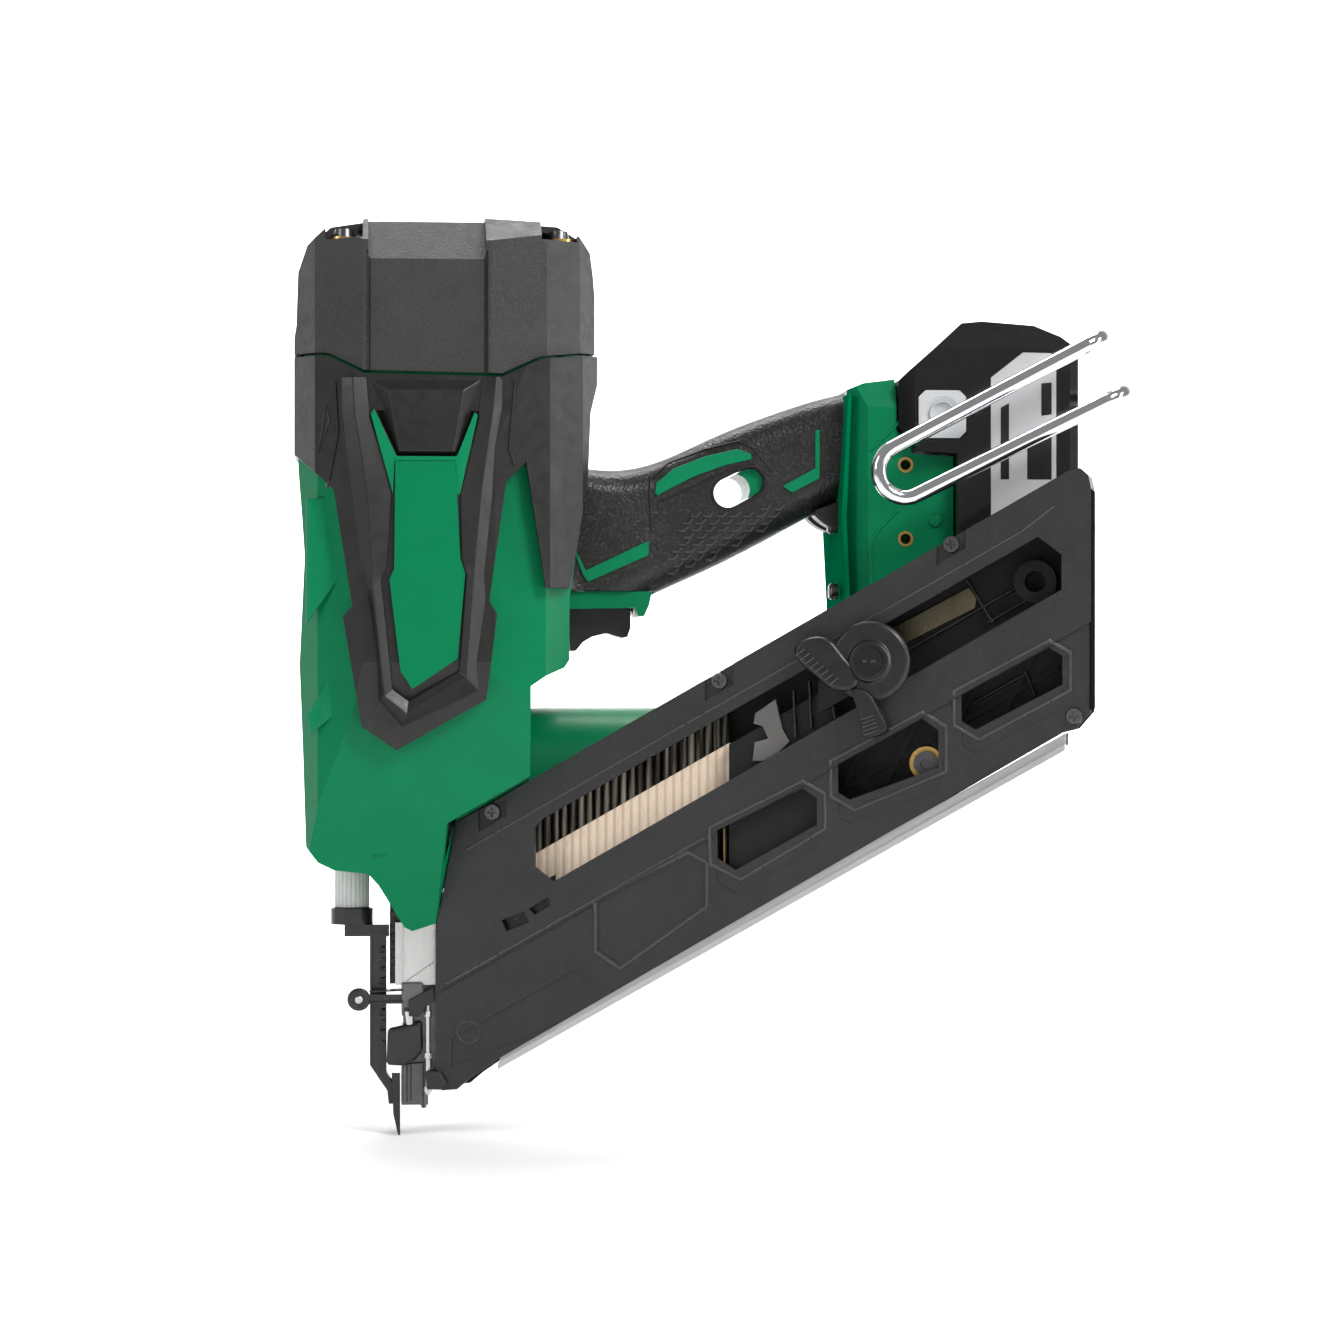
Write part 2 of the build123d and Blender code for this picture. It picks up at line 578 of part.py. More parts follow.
def make_rotor():
    """The motor's magnet rotor, its shaft, and the sun gear cut on the shaft's front end."""
    sun_r = MODULE * SUN_TEETH / 2
    with BuildPart() as rotor:
        with BuildSketch(SHAFT.offset(25)):
            Polygon(*gear_points(SUN_TEETH, sun_r - 1.0, sun_r + 0.7, 0.42, pi / SUN_TEETH), align=None)
        extrude(amount=11)
        add(rod(SHAFT, MOTOR_SHAFT_R - 0.04, 36, 136))
        add(rod(SHAFT, 11.5, 60, 96))
    keep("motor_rotor", rotor.part)


def make_stator():
    """The laminated ring with six poles, and a coil round each."""
    with BuildPart() as stator:
        add(rod(SHAFT, 25.2, 62, 94, 21.5))
        for angle in turns(6):
            with BuildSketch(shaft_spoke(62, angle)):
                with Locations((17, 0)):
                    Rectangle(10, 5)
                with Locations((13.2, 0)):
                    Rectangle(2, 9)
            extrude(amount=32)
    keep("motor_stator", joined(stator.part, *[motor_coil(angle) for angle in turns(6)]))


def motor_coil(angle):
    with BuildPart() as coil:
        with BuildSketch(shaft_spoke(58, angle)):
            with Locations((17.6, 0)):
                Rectangle(6, 9.4)
        extrude(amount=40)
        with BuildSketch(shaft_spoke(61.9, angle)):
            with Locations((17.6, 0)):
                Rectangle(7, 5.1)
        extrude(amount=32.2, mode=Mode.SUBTRACT)
    return coil.part


def make_fan():
    with BuildPart() as fan:
        add(rod(SHAFT, 22, 106, 108, MOTOR_SHAFT_R - 0.04))
        add(rod(SHAFT, 6, 106, 118, MOTOR_SHAFT_R - 0.04))
        for angle in turns(9):
            with BuildSketch(shaft_spoke(107.5, angle)):
                with Locations((13.5, 0)):
                    Rectangle(16, 1.4)
            extrude(amount=9)
    keep("cooling_fan", fan.part)


# ---- air spring --------------------------------------------------------------------------------
def make_air_spring():
    chamber_at = (8, 0)
    with BuildPart() as chamber:
        with BuildSketch(Plane.XY.offset(222)):
            with Locations(chamber_at):
                Circle(42)
        extrude(amount=122)
        fillet(faces().sort_by(Axis.Z)[-1].edges(), 14)
        add(rod(Plane.XY, 39.5, 225, 327, at=chamber_at), mode=Mode.SUBTRACT)
        add(rod(Plane.XY, 33.5, 326, 338, at=chamber_at), mode=Mode.SUBTRACT)
        add(rod(Plane.XY, CYL_R, 200, 226), mode=Mode.SUBTRACT)
    keep("air_chamber", chamber.part)
    keep("cylinder", rod(Plane.XY, CYL_R, 168, 299.5, BORE_R))
    keep("bumper", rod(Plane.XY, BORE_R - 0.1, 168, 189.5, 7))
    keep("piston", cut(joined(rod(Plane.XY, BORE_R - 0.3, PISTON_Z, PISTON_Z + PISTON_T),
                              rod(Plane.XY, BORE_R - 0.06, PISTON_Z + 5, PISTON_Z + 9, BORE_R - 3)),
                       box_at((-BLADE_X, -BLADE_Y, PISTON_Z - 1), (BLADE_X, BLADE_Y, PISTON_Z + 8))))
    notches = [box_at((-3, BLADE_Y - 2, z), (3, BLADE_Y + 1, z + 6)) for z in range(118, 232, 12)]
    keep("driver_blade", cut(box_at((-BLADE_X, -BLADE_Y, BLADE_TIP),
                                    (BLADE_X, BLADE_Y, PISTON_Z + 8)), *notches))


# ---- battery pack ------------------------------------------------------------------------------
PACK_SIDE = [(BASE_BACK + 0.5, PACK_LOW), (BASE_BACK + 0.5, 261.8), (BASE_STEP + 7.6, 262.9),
             (BASE_STEP + 0.6, 272),
             (BASE_STEP + 0.6, 290), (188.5, 294), (209, PACK_TOP - 0.8), (217, PACK_TOP),
             (237, PACK_TOP - 1.6), (247, 307), (PACK_BACK, 301),
             (PACK_BACK, 204), (249, PACK_LOW)]
PACK_FRONT = mirrored([(PACK_HALF - 7, PACK_TOP + 1), (PACK_HALF, 302), (PACK_HALF, PACK_LOW + 5),
                       (PACK_HALF - 5, PACK_LOW)])
LATCH = (200.5, 276.8)      # centre of each release button
LATCH_SIZE = 19.0


def pack_shape(inset=0.0):
    plan = [(183, -30), (190, -PACK_HALF), (250, -PACK_HALF), (PACK_BACK + 1, -32.5),
            (PACK_BACK + 1, 32.5), (250, PACK_HALF), (190, PACK_HALF), (183, 30)]
    return moulding(PACK_SIDE, PACK_FRONT, plan, inset)


def make_battery():
    split_x = 216.0
    door = box_at((BASE_BACK - 1, -23.5, 190), (BASE_BACK + 7.4, 23.5, 257.5))
    latch_room = [prism(SIDE, centred_square(LATCH, LATCH_SIZE), *sorted((sign * 29, sign * FULL)))
                  for sign in (1, -1)]
    shell = cut(pack_shape(), pack_shape(2.0), *latch_room)
    socket = cut(common(box_at((BASE_BACK, -25.5, 194), (BASE_BACK + 8.8, 25.5, 259.7)),
                        pack_shape()), door)
    shell = cut(joined(shell, socket), door)
    front_half = box_at((150, -80, 150), (split_x, 80, 350))
    keep("battery_cover", common(shell, front_half))
    keep("battery_case", cut(shell, front_half))
    cells = [rod(SIDE, 9.1, -32.5, 32.5, at=(x, z)) for x in (224.2, 242.6)
             for z in (209, 227.5, 246, 264.5, 283)]
    keep("battery_cells", Compound(children=cells))
    keep("battery_board", joined(box_at((203, -24, 296.5), (246, 24, 298)),
                                 box_at((212, -14, 293.4), (215, 14, 297))))
    for side, sign in (("left", 1), ("right", -1)):
        low, high = sorted((sign * 29.5, sign * (PACK_HALF + 0.8)))
        button = prism(SIDE, centred_square(LATCH, LATCH_SIZE - 2 * GAP), low, high)
        dish = Plane(origin=(LATCH[0], -sign * (PACK_HALF + 14.5), LATCH[1]), z_dir=(0, -1, 0))
        with BuildPart() as latch:
            add(button)
            with Locations(dish):
                Sphere(15.4, mode=Mode.SUBTRACT)
        keep(f"battery_latch_{side}", latch.part)


def centred_square(centre, size):
    x, z, h = centre[0], centre[1], size / 2
    c = size * 0.14
    return [(x - h + c, z - h), (x + h - c, z - h), (x + h, z - h + c), (x + h, z + h - c),
            (x + h - c, z + h), (x - h + c, z + h), (x - h, z + h - c), (x - h, z - h + c)]


# ---- magazine ----------------------------------------------------------------------------------
# outlines are (distance along the magazine, height)
MAG_TOP = 120.6             # height of the top edge where it begins, at 20 along
MAG_OUTLINE = [(12, 20), (12, 79), (20, MAG_TOP), (253, MAG_TOP + 233 * RISE), (257.6, 254.2),
               (260.6, 251.6), (261.5, 247.4), (261.5, 163.5), (256, 157), (250, 155.6),
               (37, 31), (24.8, 22.6), (20, 18.5), (14, 18)]
SLOT = [(50.7, 104), (50.7, 119), (54, 122.6), (242, 228.7), (250.7, 222), (250.7, 209), (58, 98.5)]
WINDOWS = [
    [(121, 108), (121, 118.5), (153.5, 134.6), (159, 131), (159, 121), (128, 103.5)],
    [(167, 133), (167, 143.7), (198.7, 161), (204.8, 156.6), (204.8, 142.7), (171.4, 130.4)],
    [(213.4, 160), (213.4, 170), (246, 187.5), (251, 184.4), (251, 173.7), (218.6, 156.8)],
]
BLIND_RECESS = [(75.3, 73), (75.3, 90.1), (109.9, 108.6), (115.7, 105.7), (115.7, 90.5), (83, 67.3)]
GAUGE_SLOTS = [[(37.7, 83.6), (46.6, 87.1), (48.6, 82.9), (39.6, 79.4)],
               [(48.4, 88), (56, 92.6), (57.1, 89.5), (50.6, 85.8)]]
EDGE_SCREWS = [(34.3, 124.8), (122, 175), (209.7, 226)]
REAR_SCREW = (255.4, 162.0)
BRACKET_BOLT = (198.2, 143.7)
KNOB = (180.0, 182.3)


def sloped_band(start, end, low, high):
    """A parallelogram between two heights measured at the magazine's front end."""
    return [(start, low + start * RISE), (end, low + end * RISE), (end, high + end * RISE),
            (start, high + start * RISE)]


def make_magazine():
    face = MAG_NEAR - MAG_WALL
    screw_notches = [prism(MAG, [(u - 5.5, z - 7.5), (u + 5.5, z - 7.5 + 11 * RISE), (u + 5.5, z + 14),
                                 (u - 5.5, z + 14)],
                           MAG_NEAR - 1.4, MAG_NEAR + 1) for u, z in EDGE_SCREWS]
    steps = [
        prism(MAG, [(0, 48.5), (300, 48.5 + 300 * RISE), (300, 0), (0, 0)], MAG_NEAR - 1.2, MAG_NEAR + 1),
        prism(MAG, [(18, 27), (18, 37.8), (66, 65), (75, 59), (75, 50)], MAG_NEAR - 1.7, MAG_NEAR + 1),
    ]
    frames = [prism(MAG, [(p[0], p[1] - 9) if i in (0, 4, 5) else p for i, p in enumerate(window)],
                    MAG_NEAR - 1.6, MAG_NEAR + 1) for window in WINDOWS]
    screw_holes = [rod(MAG, 1.6, -20, 20, at=spot) for spot in EDGE_SCREWS + [REAR_SCREW]]
    lip = common(cut(prism(MAG, MAG_OUTLINE, 2.4, MAG_NEAR), prism(MAG, lip_room(), 2, MAG_NEAR)),
                 prism(MAG, sloped_band(8, 270, 60, 260), 0, 30))
    plate = joined(prism(MAG, MAG_OUTLINE, face, MAG_NEAR), lip)
    cover = cut(plate, prism(MAG, SLOT, 0, 30), prism(MAG, BLIND_RECESS, MAG_NEAR - 1.6, MAG_NEAR + 1),
                *[prism(MAG, window, 0, 30) for window in WINDOWS + GAUGE_SLOTS],
                *screw_notches, *steps, *frames, *screw_holes,
                *[rod(MAG, 3.2, 0, face, at=spot) for spot in (EDGE_SCREWS[0], REAR_SCREW)],
                rod(MAG, 5.2, MAG_NEAR - 1.2, MAG_NEAR + 2, at=REAR_SCREW))
    keep("magazine_cover", cover)

    far_face = MAG_FAR + MAG_WALL
    wall = prism(MAG, MAG_OUTLINE, MAG_FAR, far_face)
    roof = common(cut(prism(MAG, MAG_OUTLINE, MAG_FAR, 2), prism(MAG, lip_room(), MAG_FAR - 1, 3)),
                  prism(MAG, sloped_band(8, 270, 60, 260), -20, 10))
    ribs = [prism(MAG, sloped_band(60, 248, z, z + 2), far_face - 0.1, far_face + 1.6) for z in (38, 52)]
    cross_ribs = [prism(MAG, [(u, 30 + u * RISE), (u + 16, 62 + u * RISE), (u + 18, 62 + u * RISE),
                              (u + 2, 30 + u * RISE)],
                        far_face - 0.1, far_face + 1.6) for u in range(70, 235, 22)]
    posts = [rod(MAG, 3.0, MAG_FAR, face, at=spot) for spot in (EDGE_SCREWS[0], REAR_SCREW)]
    edge_ears = [common(rod(MAG, 4.4, MAG_FAR, 2, at=spot), prism(MAG, MAG_OUTLINE, MAG_FAR, 2))
                 for spot in EDGE_SCREWS[1:]]
    ribs = [cut(rib, rod(MAG, 7.2, -20, 20, at=BRACKET_BOLT)) for rib in ribs + cross_ribs]
    frame = cut(joined(wall, roof, *ribs, *posts, *edge_ears),
                *[rod(MAG, 1.6, -20, 20, at=spot) for spot in EDGE_SCREWS + [REAR_SCREW]],
                rod(MAG, 3.1, -20, 20, at=BRACKET_BOLT))
    keep("magazine_frame", frame)
    SCREWS.extend(screw(MAG, spot, MAG_NEAR - 1.2, 14, 1.5, 3.3, 2.0)
                  for spot in EDGE_SCREWS + [REAR_SCREW])
    # the bottom rail that the nail points run on, a steel channel under the lower edge
    rail = cut(prism(MAG, sloped_band(36.5, 252, 6.7, 12.5), far_face + 0.2, face - 0.2),
               prism(MAG, sloped_band(20, 260, 7.9, 20), far_face + 1.4, face - 1.4))
    foot = prism(MAG, sloped_band(36.5, 252, 6.1, 8.6), face - 1.5, MAG_NEAR + 0.6)
    keep("magazine_rail", joined(rail, cut(foot, prism(MAG, MAG_OUTLINE, 0, 30))))
    nails = []
    for number in range(NAIL_COUNT):
        u = FIRST_NAIL + number * NAIL_PITCH
        nails.append(make_nail(u, 99.4 + u * RISE))
    keep("nail_strip", Compound(children=nails))
    last = FIRST_NAIL + (NAIL_COUNT - 1) * NAIL_PITCH + 1.8
    tapes = [prism(MAG, sloped_band(FIRST_NAIL - 1.8, last, 58, 81), low, low + 0.35)
             for low in (NAIL_R + 0.05, -NAIL_R - 0.4)]
    keep("paper_tape", Compound(children=tapes))


def lip_room():
    """The magazine's outline without its walls along the top and the rear."""
    return [(0, 0), (0, MAG_TOP - 20 * RISE - 2.8), (246, MAG_TOP + 226 * RISE - 3), (258.8, 240),
            (258.8, 0)]


def make_nail(u, head_z):
    """A framing nail with a clipped head, chisel point down."""
    with BuildPart() as nail:
        base = Plane(origin=MAG.from_local_coords((u, 0, 0)), x_dir=MAG.x_dir, z_dir=(0, 0, 1))
        with BuildSketch(base.offset(head_z - NAIL_LEN + 5)):
            Circle(NAIL_R)
        extrude(amount=NAIL_LEN - 5)
        with BuildSketch(base.offset(head_z - 1.5)):
            Circle(NAIL_HEAD_R)
            with Locations((NAIL_HEAD_R + 1.5, 0)):
                Rectangle(2 * NAIL_HEAD_R, 3 * NAIL_HEAD_R, mode=Mode.SUBTRACT)
        extrude(amount=1.5)
        with BuildSketch(base.offset(head_z - NAIL_LEN + 5)):
            Circle(NAIL_R)
        extrude(amount=-4, taper=18)
    return nail.part


def make_pusher():
    """The follower in the track, the stem through the slot, and the thumb piece outside."""
    last = FIRST_NAIL + (NAIL_COUNT - 1) * NAIL_PITCH + 2.6
    follower = cut(prism(MAG, sloped_band(last, last + 40, 28, 80), -2.2, 8),
                   prism(MAG, sloped_band(last + 8, last + 30, 34, 66), -5, 4))
    stem = prism(MAG, sloped_band(160, 186, 72, 84), 2, 16.4)
    pivot = cut(joined(rod(MAG, 3.0, 10, MAG_NEAR + 10.3, at=KNOB),
                       rod(MAG, 5.2, MAG_NEAR + 10.3, MAG_NEAR + 12.3, at=KNOB)),
                prism(MAG, [(KNOB[0] - 3, KNOB[1] - 0.5), (KNOB[0] + 3, KNOB[1] - 0.5),
                            (KNOB[0] + 3, KNOB[1] + 0.5),
                            (KNOB[0] - 3, KNOB[1] + 0.5)], MAG_NEAR + 11, MAG_NEAR + 14))
    keep("pusher", joined(follower, stem, pivot))
    disc = rod(MAG, 15, MAG_NEAR + 4, MAG_NEAR + 8.5, at=KNOB)
    hub = rod(MAG, 6.5, MAG_NEAR + 8.4, MAG_NEAR + 10, at=KNOB)
    paddle = [(151, 187), (156, 191.5), (165.5, 192.8), (170, 190), (176, 186), (174, 173), (163, 176),
              (152, 182)]
    tab = [(168, 176), (178, 172), (184.5, 157), (184, 153.6), (178, 154.5), (173, 160), (167, 170)]
    with BuildPart() as lever:
        add(disc)
        add(hub)
        with BuildSketch(MAG.offset(MAG_NEAR + 4.5)):
            Polygon(*paddle, align=None)
        extrude(amount=5)
        with BuildSketch(MAG.offset(MAG_NEAR + 2.6)):
            Polygon(*tab, align=None)
        extrude(amount=9)
        add(rod(MAG, 3.6, MAG_NEAR + 2, MAG_NEAR + 20, at=KNOB), mode=Mode.SUBTRACT)
    keep("pusher_lever", lever.part)
    roll = MAG.offset(-6)
    keep("pusher_spring", rod(roll, 8, 0, 7.5, 4, at=(240, 76 + 240 * RISE)))


def make_magazine_bolt():
    """The bolt through the magazine's far wall into the arm on the battery base."""
    with BuildPart() as bolt:
        add(rod(MAG, 2.5, MAG_FAR - 16, -4.5, at=BRACKET_BOLT))
        add(rod(MAG, 4.6, -6.4, -3.4, at=BRACKET_BOLT))
        with BuildSketch(MAG.offset(-4.8)):
            with Locations(BRACKET_BOLT):
                RegularPolygon(2.3, 6)
        extrude(amount=3, mode=Mode.SUBTRACT)
    SCREWS.append(bolt.part)
    WASHERS.append(rod(MAG, 6.4, MAG_FAR + MAG_WALL, -6.4, 2.55, BRACKET_BOLT))


# ---- nose --------------------------------------------------------------------------------------
ADJUSTER_AT = (-24.1, 0.0)


def make_nose():
    throat = box_at((-1.9, -5.6, 0), (1.9, 5.6, 200))
    strip_way = box_at((0, -6.4, 12), (20, 4.2, 107))
    body = joined(box_at((-5, -9, 29), (8, 9, 106)),
                  box_at((-5, -7.5, 11.5), (5.2, 7.5, 29)),
                  box_at((-9, -9, 92), (8, 9, 106)))
    tabs = joined(box_at((7, 4.4, 24), (13, 9, 60)), box_at((7, -9, 24), (10.5, -6.6, 60)))
    tabs = cut(tabs, prism(MAG, MAG_OUTLINE, MAG_FAR, MAG_NEAR))
    keep("nose_body", cut(joined(body, tabs), throat, strip_way, box_at((-12, -20, 42), (-4.4, 20, 46))))
    keep("nose_plate", box_at((-7.5, -10.6, 58), (8, -9, 82)))
    guide = joined(box_at((-19.5, -13, 51), (6, -10.7, 54.6)), box_at((-4, -13.5, 48), (3.5, -9, 58)))
    keep("probe_guide", joined(guide, rod(SIDE, 3.1, 8.6, 14.5, at=(-21.5, 52.8))))


def make_probe():
    """The contact arm: a rod that carries the depth wheel, a channel-shaped arm and the toothed tip."""
    shoulder = box_at((-27, -7, 76.5), (-9.8, 7, 81))
    arm = prism(SIDE, [(-17.2, 27), (-17.2, 78), (-10.8, 78), (-10.8, 24), (-8.2, 19), (-8.2, 12),
                       (-10, 12), (-10.5, 17)],
                -7.5, 7.5)
    slots = [box_at((-13.4, -9, z), (-10, -6, z + 3)) for z in range(40, 76, 6)]
    tip = prism(SIDE, [(-8.8, 24), (-8.2, 8), (-6.4, 0), (-5.6, 0), (-5.6, 24)], -8.5, 8.5)
    notches = [box_at((-12, y - 1.6, -1), (0, y + 1.6, 5)) for y in (-4.6, 0, 4.6)]
    flange = rod(Plane.XY, 8.2, 81, 87.2, at=ADJUSTER_AT)
    keep("probe_arm", cut(joined(arm, shoulder, flange, tip, rod(Plane.XY, 2.9, 80, 118, at=ADJUSTER_AT)),
                          *slots, *notches))
    flutes = [rod(Plane.XY, 0.5, 87, 104, at=(ADJUSTER_AT[0] + 6.9 * cos(a), 6.9 * sin(a)))
              for a in (2 * pi * k / 24 for k in range(24))]
    wheel = cut(rod(Plane.XY, 6.8, 87.6, 103.5, at=ADJUSTER_AT),
                rod(Plane.XY, 2.97, 70, 110, at=ADJUSTER_AT), *flutes)
    keep("depth_adjuster", wheel)
    keep("probe_spring", rod(Plane.XY, 4.4, 104.5, 118, 3.2, ADJUSTER_AT))


# ---- belt hook ---------------------------------------------------------------------------------
HOOK_LOOP = (182.9, 253.8)  # centre of the near loop
HOOK_LOOP_R = 9.8
HOOK_ENDS = (268.0, 259.5)  # where the lower and the upper wire turn across


def hook_corner(sign):
    """Corner of the near loop at the lower (-1) or upper (+1) wire."""
    a = radians(HOOK_SLOPE)
    x, z = HOOK_LOOP
    return x - HOOK_LOOP_R * (cos(a) + sign * sin(a)), z - HOOK_LOOP_R * (sin(a) - sign * cos(a))


def hook_line(x, sign):
    """Height of the lower (-1) or upper (+1) wire at x."""
    corner_x, corner_z = hook_corner(sign)
    return corner_z + (x - corner_x) * tan(radians(HOOK_SLOPE + sign * HOOK_SPREAD))


def make_hook():
    back_low, back_high = HOOK_ENDS
    (low_x, low_z), (high_x, high_z) = hook_corner(-1), hook_corner(1)
    corners = [
        (192, HOOK_FAR, hook_line(192, -1)), (back_low, HOOK_FAR, hook_line(back_low, -1)),
        (back_low, HOOK_NEAR, hook_line(back_low, -1)), (low_x, HOOK_NEAR, low_z),
        (high_x, HOOK_NEAR, high_z),
        (back_high, HOOK_NEAR, hook_line(back_high, 1)), (back_high, HOOK_FAR, hook_line(back_high, 1)),
        (184, HOOK_FAR, hook_line(184, 1)),
    ]
    with BuildPart() as wire:
        with BuildLine():
            route = FilletPolyline(*corners, radius=[9, 9, HOOK_LOOP_R - 0.05, HOOK_LOOP_R - 0.05, 9, 9])
        with BuildSketch(Plane(origin=route @ 0, z_dir=route % 0)):
            Circle(HOOK_WIRE_R)
        sweep(transition=Transition.ROUND)
    spots = [(INSERT_X, INSERT_LOW), (INSERT_X, INSERT_HIGH)]
    face = -(HOOK_FAR - HOOK_WIRE_R)
    outline = [(180, 222), (195, 222), (200, 238), (200, 250), (191, 270), (180, 270), (177, 258)]
    plate = joined(prism(SIDE, outline, face - 0.3, face + 2.7),
                   *[rod(SIDE, 3.9, face + 2.6, -BASE_HALF - 0.3, at=spot) for spot in spots])
    plate = cut(plate, *[rod(SIDE, 2.2, -60, -20, at=spot) for spot in spots])
    keep("hook", joined(wire.part, plate))
    back = Plane(origin=(0, -face + 0.3, 0), x_dir=(1, 0, 0), z_dir=(0, 1, 0))
    SCREWS.extend(screw(back, (x, -z), 0, 18, 1.95, 3.8, 2.4) for x, z in spots)


def main():
    os.makedirs("parts", exist_ok=True)
    make_cap()
    make_head()
    make_armour()
    make_handle()
    make_trigger()
    make_base()
    make_motor_case()
    make_gear_case()
    make_frame()
    make_bearings()
    make_lifter()
    make_gears()
    make_rotor()
    make_stator()
    make_fan()
    make_air_spring()
    make_battery()
    make_magazine()
    make_pusher()
    make_magazine_bolt()
    make_nose()
    make_probe()
    make_hook()
    keep("screws", Compound(children=SCREWS))
    keep("washers", Compound(children=WASHERS))
    for name, part in PARTS.items():
        export_step(part, f"parts/{name}.step")


main()
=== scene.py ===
import json
import math

import bmesh
import bpy
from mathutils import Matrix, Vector
from mathutils.bvhtree import BVHTree


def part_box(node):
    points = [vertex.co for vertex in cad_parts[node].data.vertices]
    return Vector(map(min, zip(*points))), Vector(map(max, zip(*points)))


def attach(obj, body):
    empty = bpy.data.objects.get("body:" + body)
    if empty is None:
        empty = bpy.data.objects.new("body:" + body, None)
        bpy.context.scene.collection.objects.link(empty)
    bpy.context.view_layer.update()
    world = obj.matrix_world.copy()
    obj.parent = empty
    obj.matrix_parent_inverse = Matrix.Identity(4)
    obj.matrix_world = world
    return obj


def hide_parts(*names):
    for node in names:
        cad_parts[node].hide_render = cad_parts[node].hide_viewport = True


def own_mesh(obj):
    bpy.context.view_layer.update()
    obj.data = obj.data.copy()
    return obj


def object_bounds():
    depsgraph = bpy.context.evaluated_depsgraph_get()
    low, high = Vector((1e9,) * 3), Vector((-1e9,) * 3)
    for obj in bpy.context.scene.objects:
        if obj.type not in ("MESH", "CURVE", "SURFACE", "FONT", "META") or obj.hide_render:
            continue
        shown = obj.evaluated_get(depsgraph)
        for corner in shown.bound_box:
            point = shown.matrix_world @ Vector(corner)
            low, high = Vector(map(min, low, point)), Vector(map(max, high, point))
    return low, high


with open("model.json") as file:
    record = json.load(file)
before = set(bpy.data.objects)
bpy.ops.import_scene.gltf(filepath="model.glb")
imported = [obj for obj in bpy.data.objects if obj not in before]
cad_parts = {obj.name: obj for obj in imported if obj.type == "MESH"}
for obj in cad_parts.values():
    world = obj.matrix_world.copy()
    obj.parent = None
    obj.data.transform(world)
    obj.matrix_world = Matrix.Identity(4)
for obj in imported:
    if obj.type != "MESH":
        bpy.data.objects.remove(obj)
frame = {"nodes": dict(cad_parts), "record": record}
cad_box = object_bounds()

# Lengths on the object are in millimetres; places in the scene, lights and camera are in metres.
MM = 0.001
MAG_YAW = math.radians(15.0)          # the magazine's lean to the left
RISE = math.tan(math.radians(29.6))   # and its climb
GRIP_TILT = math.radians(27.0)        # the handle's slope
NAIL_PITCH = 3.3                      # from nail to nail in the strip
BASE_FRONT, BASE_HALF = 165.0, 30.0   # where the battery base begins along X, and its half width
COVER_NEAR = 14.5                     # from the magazine's middle plane to its cover's face
NODES = frame["nodes"]


# ---- camera, light and floor -------------------------------------------------------------------
def look_at(thing, target):
    """Turn a light or the camera towards a point."""
    direction = Vector(target) - thing.location
    thing.rotation_euler = direction.to_track_quat("-Z", "Y").to_euler()


def add_camera():
    """A long lens, level with the middle of the tool and a little towards its nose side."""
    target = Vector((0.0975, 0.0, 0.181))
    azimuth, distance = math.radians(-5.0), 1.4
    data = bpy.data.cameras.new("camera")
    data.sensor_width = 36.0
    data.lens = 97.2
    data.clip_end = 50.0
    camera = bpy.data.objects.new("camera", data)
    bpy.context.scene.collection.objects.link(camera)
    camera.location = target - distance * Vector((-math.sin(azimuth), math.cos(azimuth), 0.0))
    look_at(camera, target)
    bpy.context.scene.camera = camera


def add_area(name, place, size, power):
    """A soft box that faces the middle of the tool."""
    data = bpy.data.lights.new(name, "AREA")
    data.shape = "RECTANGLE"
    data.size, data.size_y = size
    data.energy = power
    light = bpy.data.objects.new(name, data)
    bpy.context.scene.collection.objects.link(light)
    light.location = place
    look_at(light, (0.10, 0.0, 0.19))


def add_studio():
    """A key light from the right, fainter ones around it, two for the backdrop, and a pale sky."""
    add_area("key_light", (1.0, -1.3, 1.4), (0.6, 0.6), 27)
    add_area("fill_light", (-1.5, -1.1, 0.9), (0.5, 0.9), 9)
    add_area("top_light", (0.1, 0.62, 1.8), (1.2, 0.5), 22)
    add_area("right_strip", (1.7, -0.5, 0.5), (0.3, 1.3), 12)
    for name, place, size, power in (
        ("backdrop_light", (0.1, 1.15, 1.5), (4.0, 0.6), 60),
        ("floor_light", (0.1, 1.2, 0.9), (3.5, 0.5), 30),
    ):
        add_area(name, place, size, power)
        look_at(bpy.data.objects[name], (0.1, 2.6, 0.5))
    world = bpy.data.worlds.new("studio")
    bpy.context.scene.world = world
    world.use_nodes = True
    world.node_tree.nodes["Background"].inputs["Color"].default_value = (1, 1, 1, 1)
    world.node_tree.nodes["Background"].inputs["Strength"].default_value = 0.3
    bpy.context.scene.view_settings.view_transform = "Standard"


def add_floor():
    """A pale floor that curves up into a backdrop."""
    low, half_width, depth, radius, steps = cad_box[0][2], 6.0, 2.6, 1.2, 16
    profile = [(-half_width, low), (depth - radius, low)]
    for step in range(1, steps + 1):
        angle = math.pi / 2 * step / steps
        profile.append((depth - radius + radius * math.sin(angle), low + radius - radius * math.cos(angle)))
    profile.append((depth, low + 5.0))
    mesh = bpy.data.meshes.new("floor")
    points = [(x, y, z) for y, z in profile for x in (-half_width, half_width)]
    faces = [(2 * i, 2 * i + 1, 2 * i + 3, 2 * i + 2) for i in range(len(profile) - 1)]
    mesh.from_pydata(points, [], faces)
    for face in mesh.polygons:
        face.use_smooth = True
    floor = bpy.data.objects.new("floor", mesh)
    bpy.context.scene.collection.objects.link(floor)
    mesh.materials.append(surface("floor_paint", (0.96, 0.96, 0.96), 0.85, variation=0.005, specular=0.2))


# ---- materials ---------------------------------------------------------------------------------
def new_material(name):
    """A node material, its tree and its main shader."""
    mat = bpy.data.materials.new(name)
    mat.use_nodes = True
    return mat, mat.node_tree, mat.node_tree.nodes["Principled BSDF"]


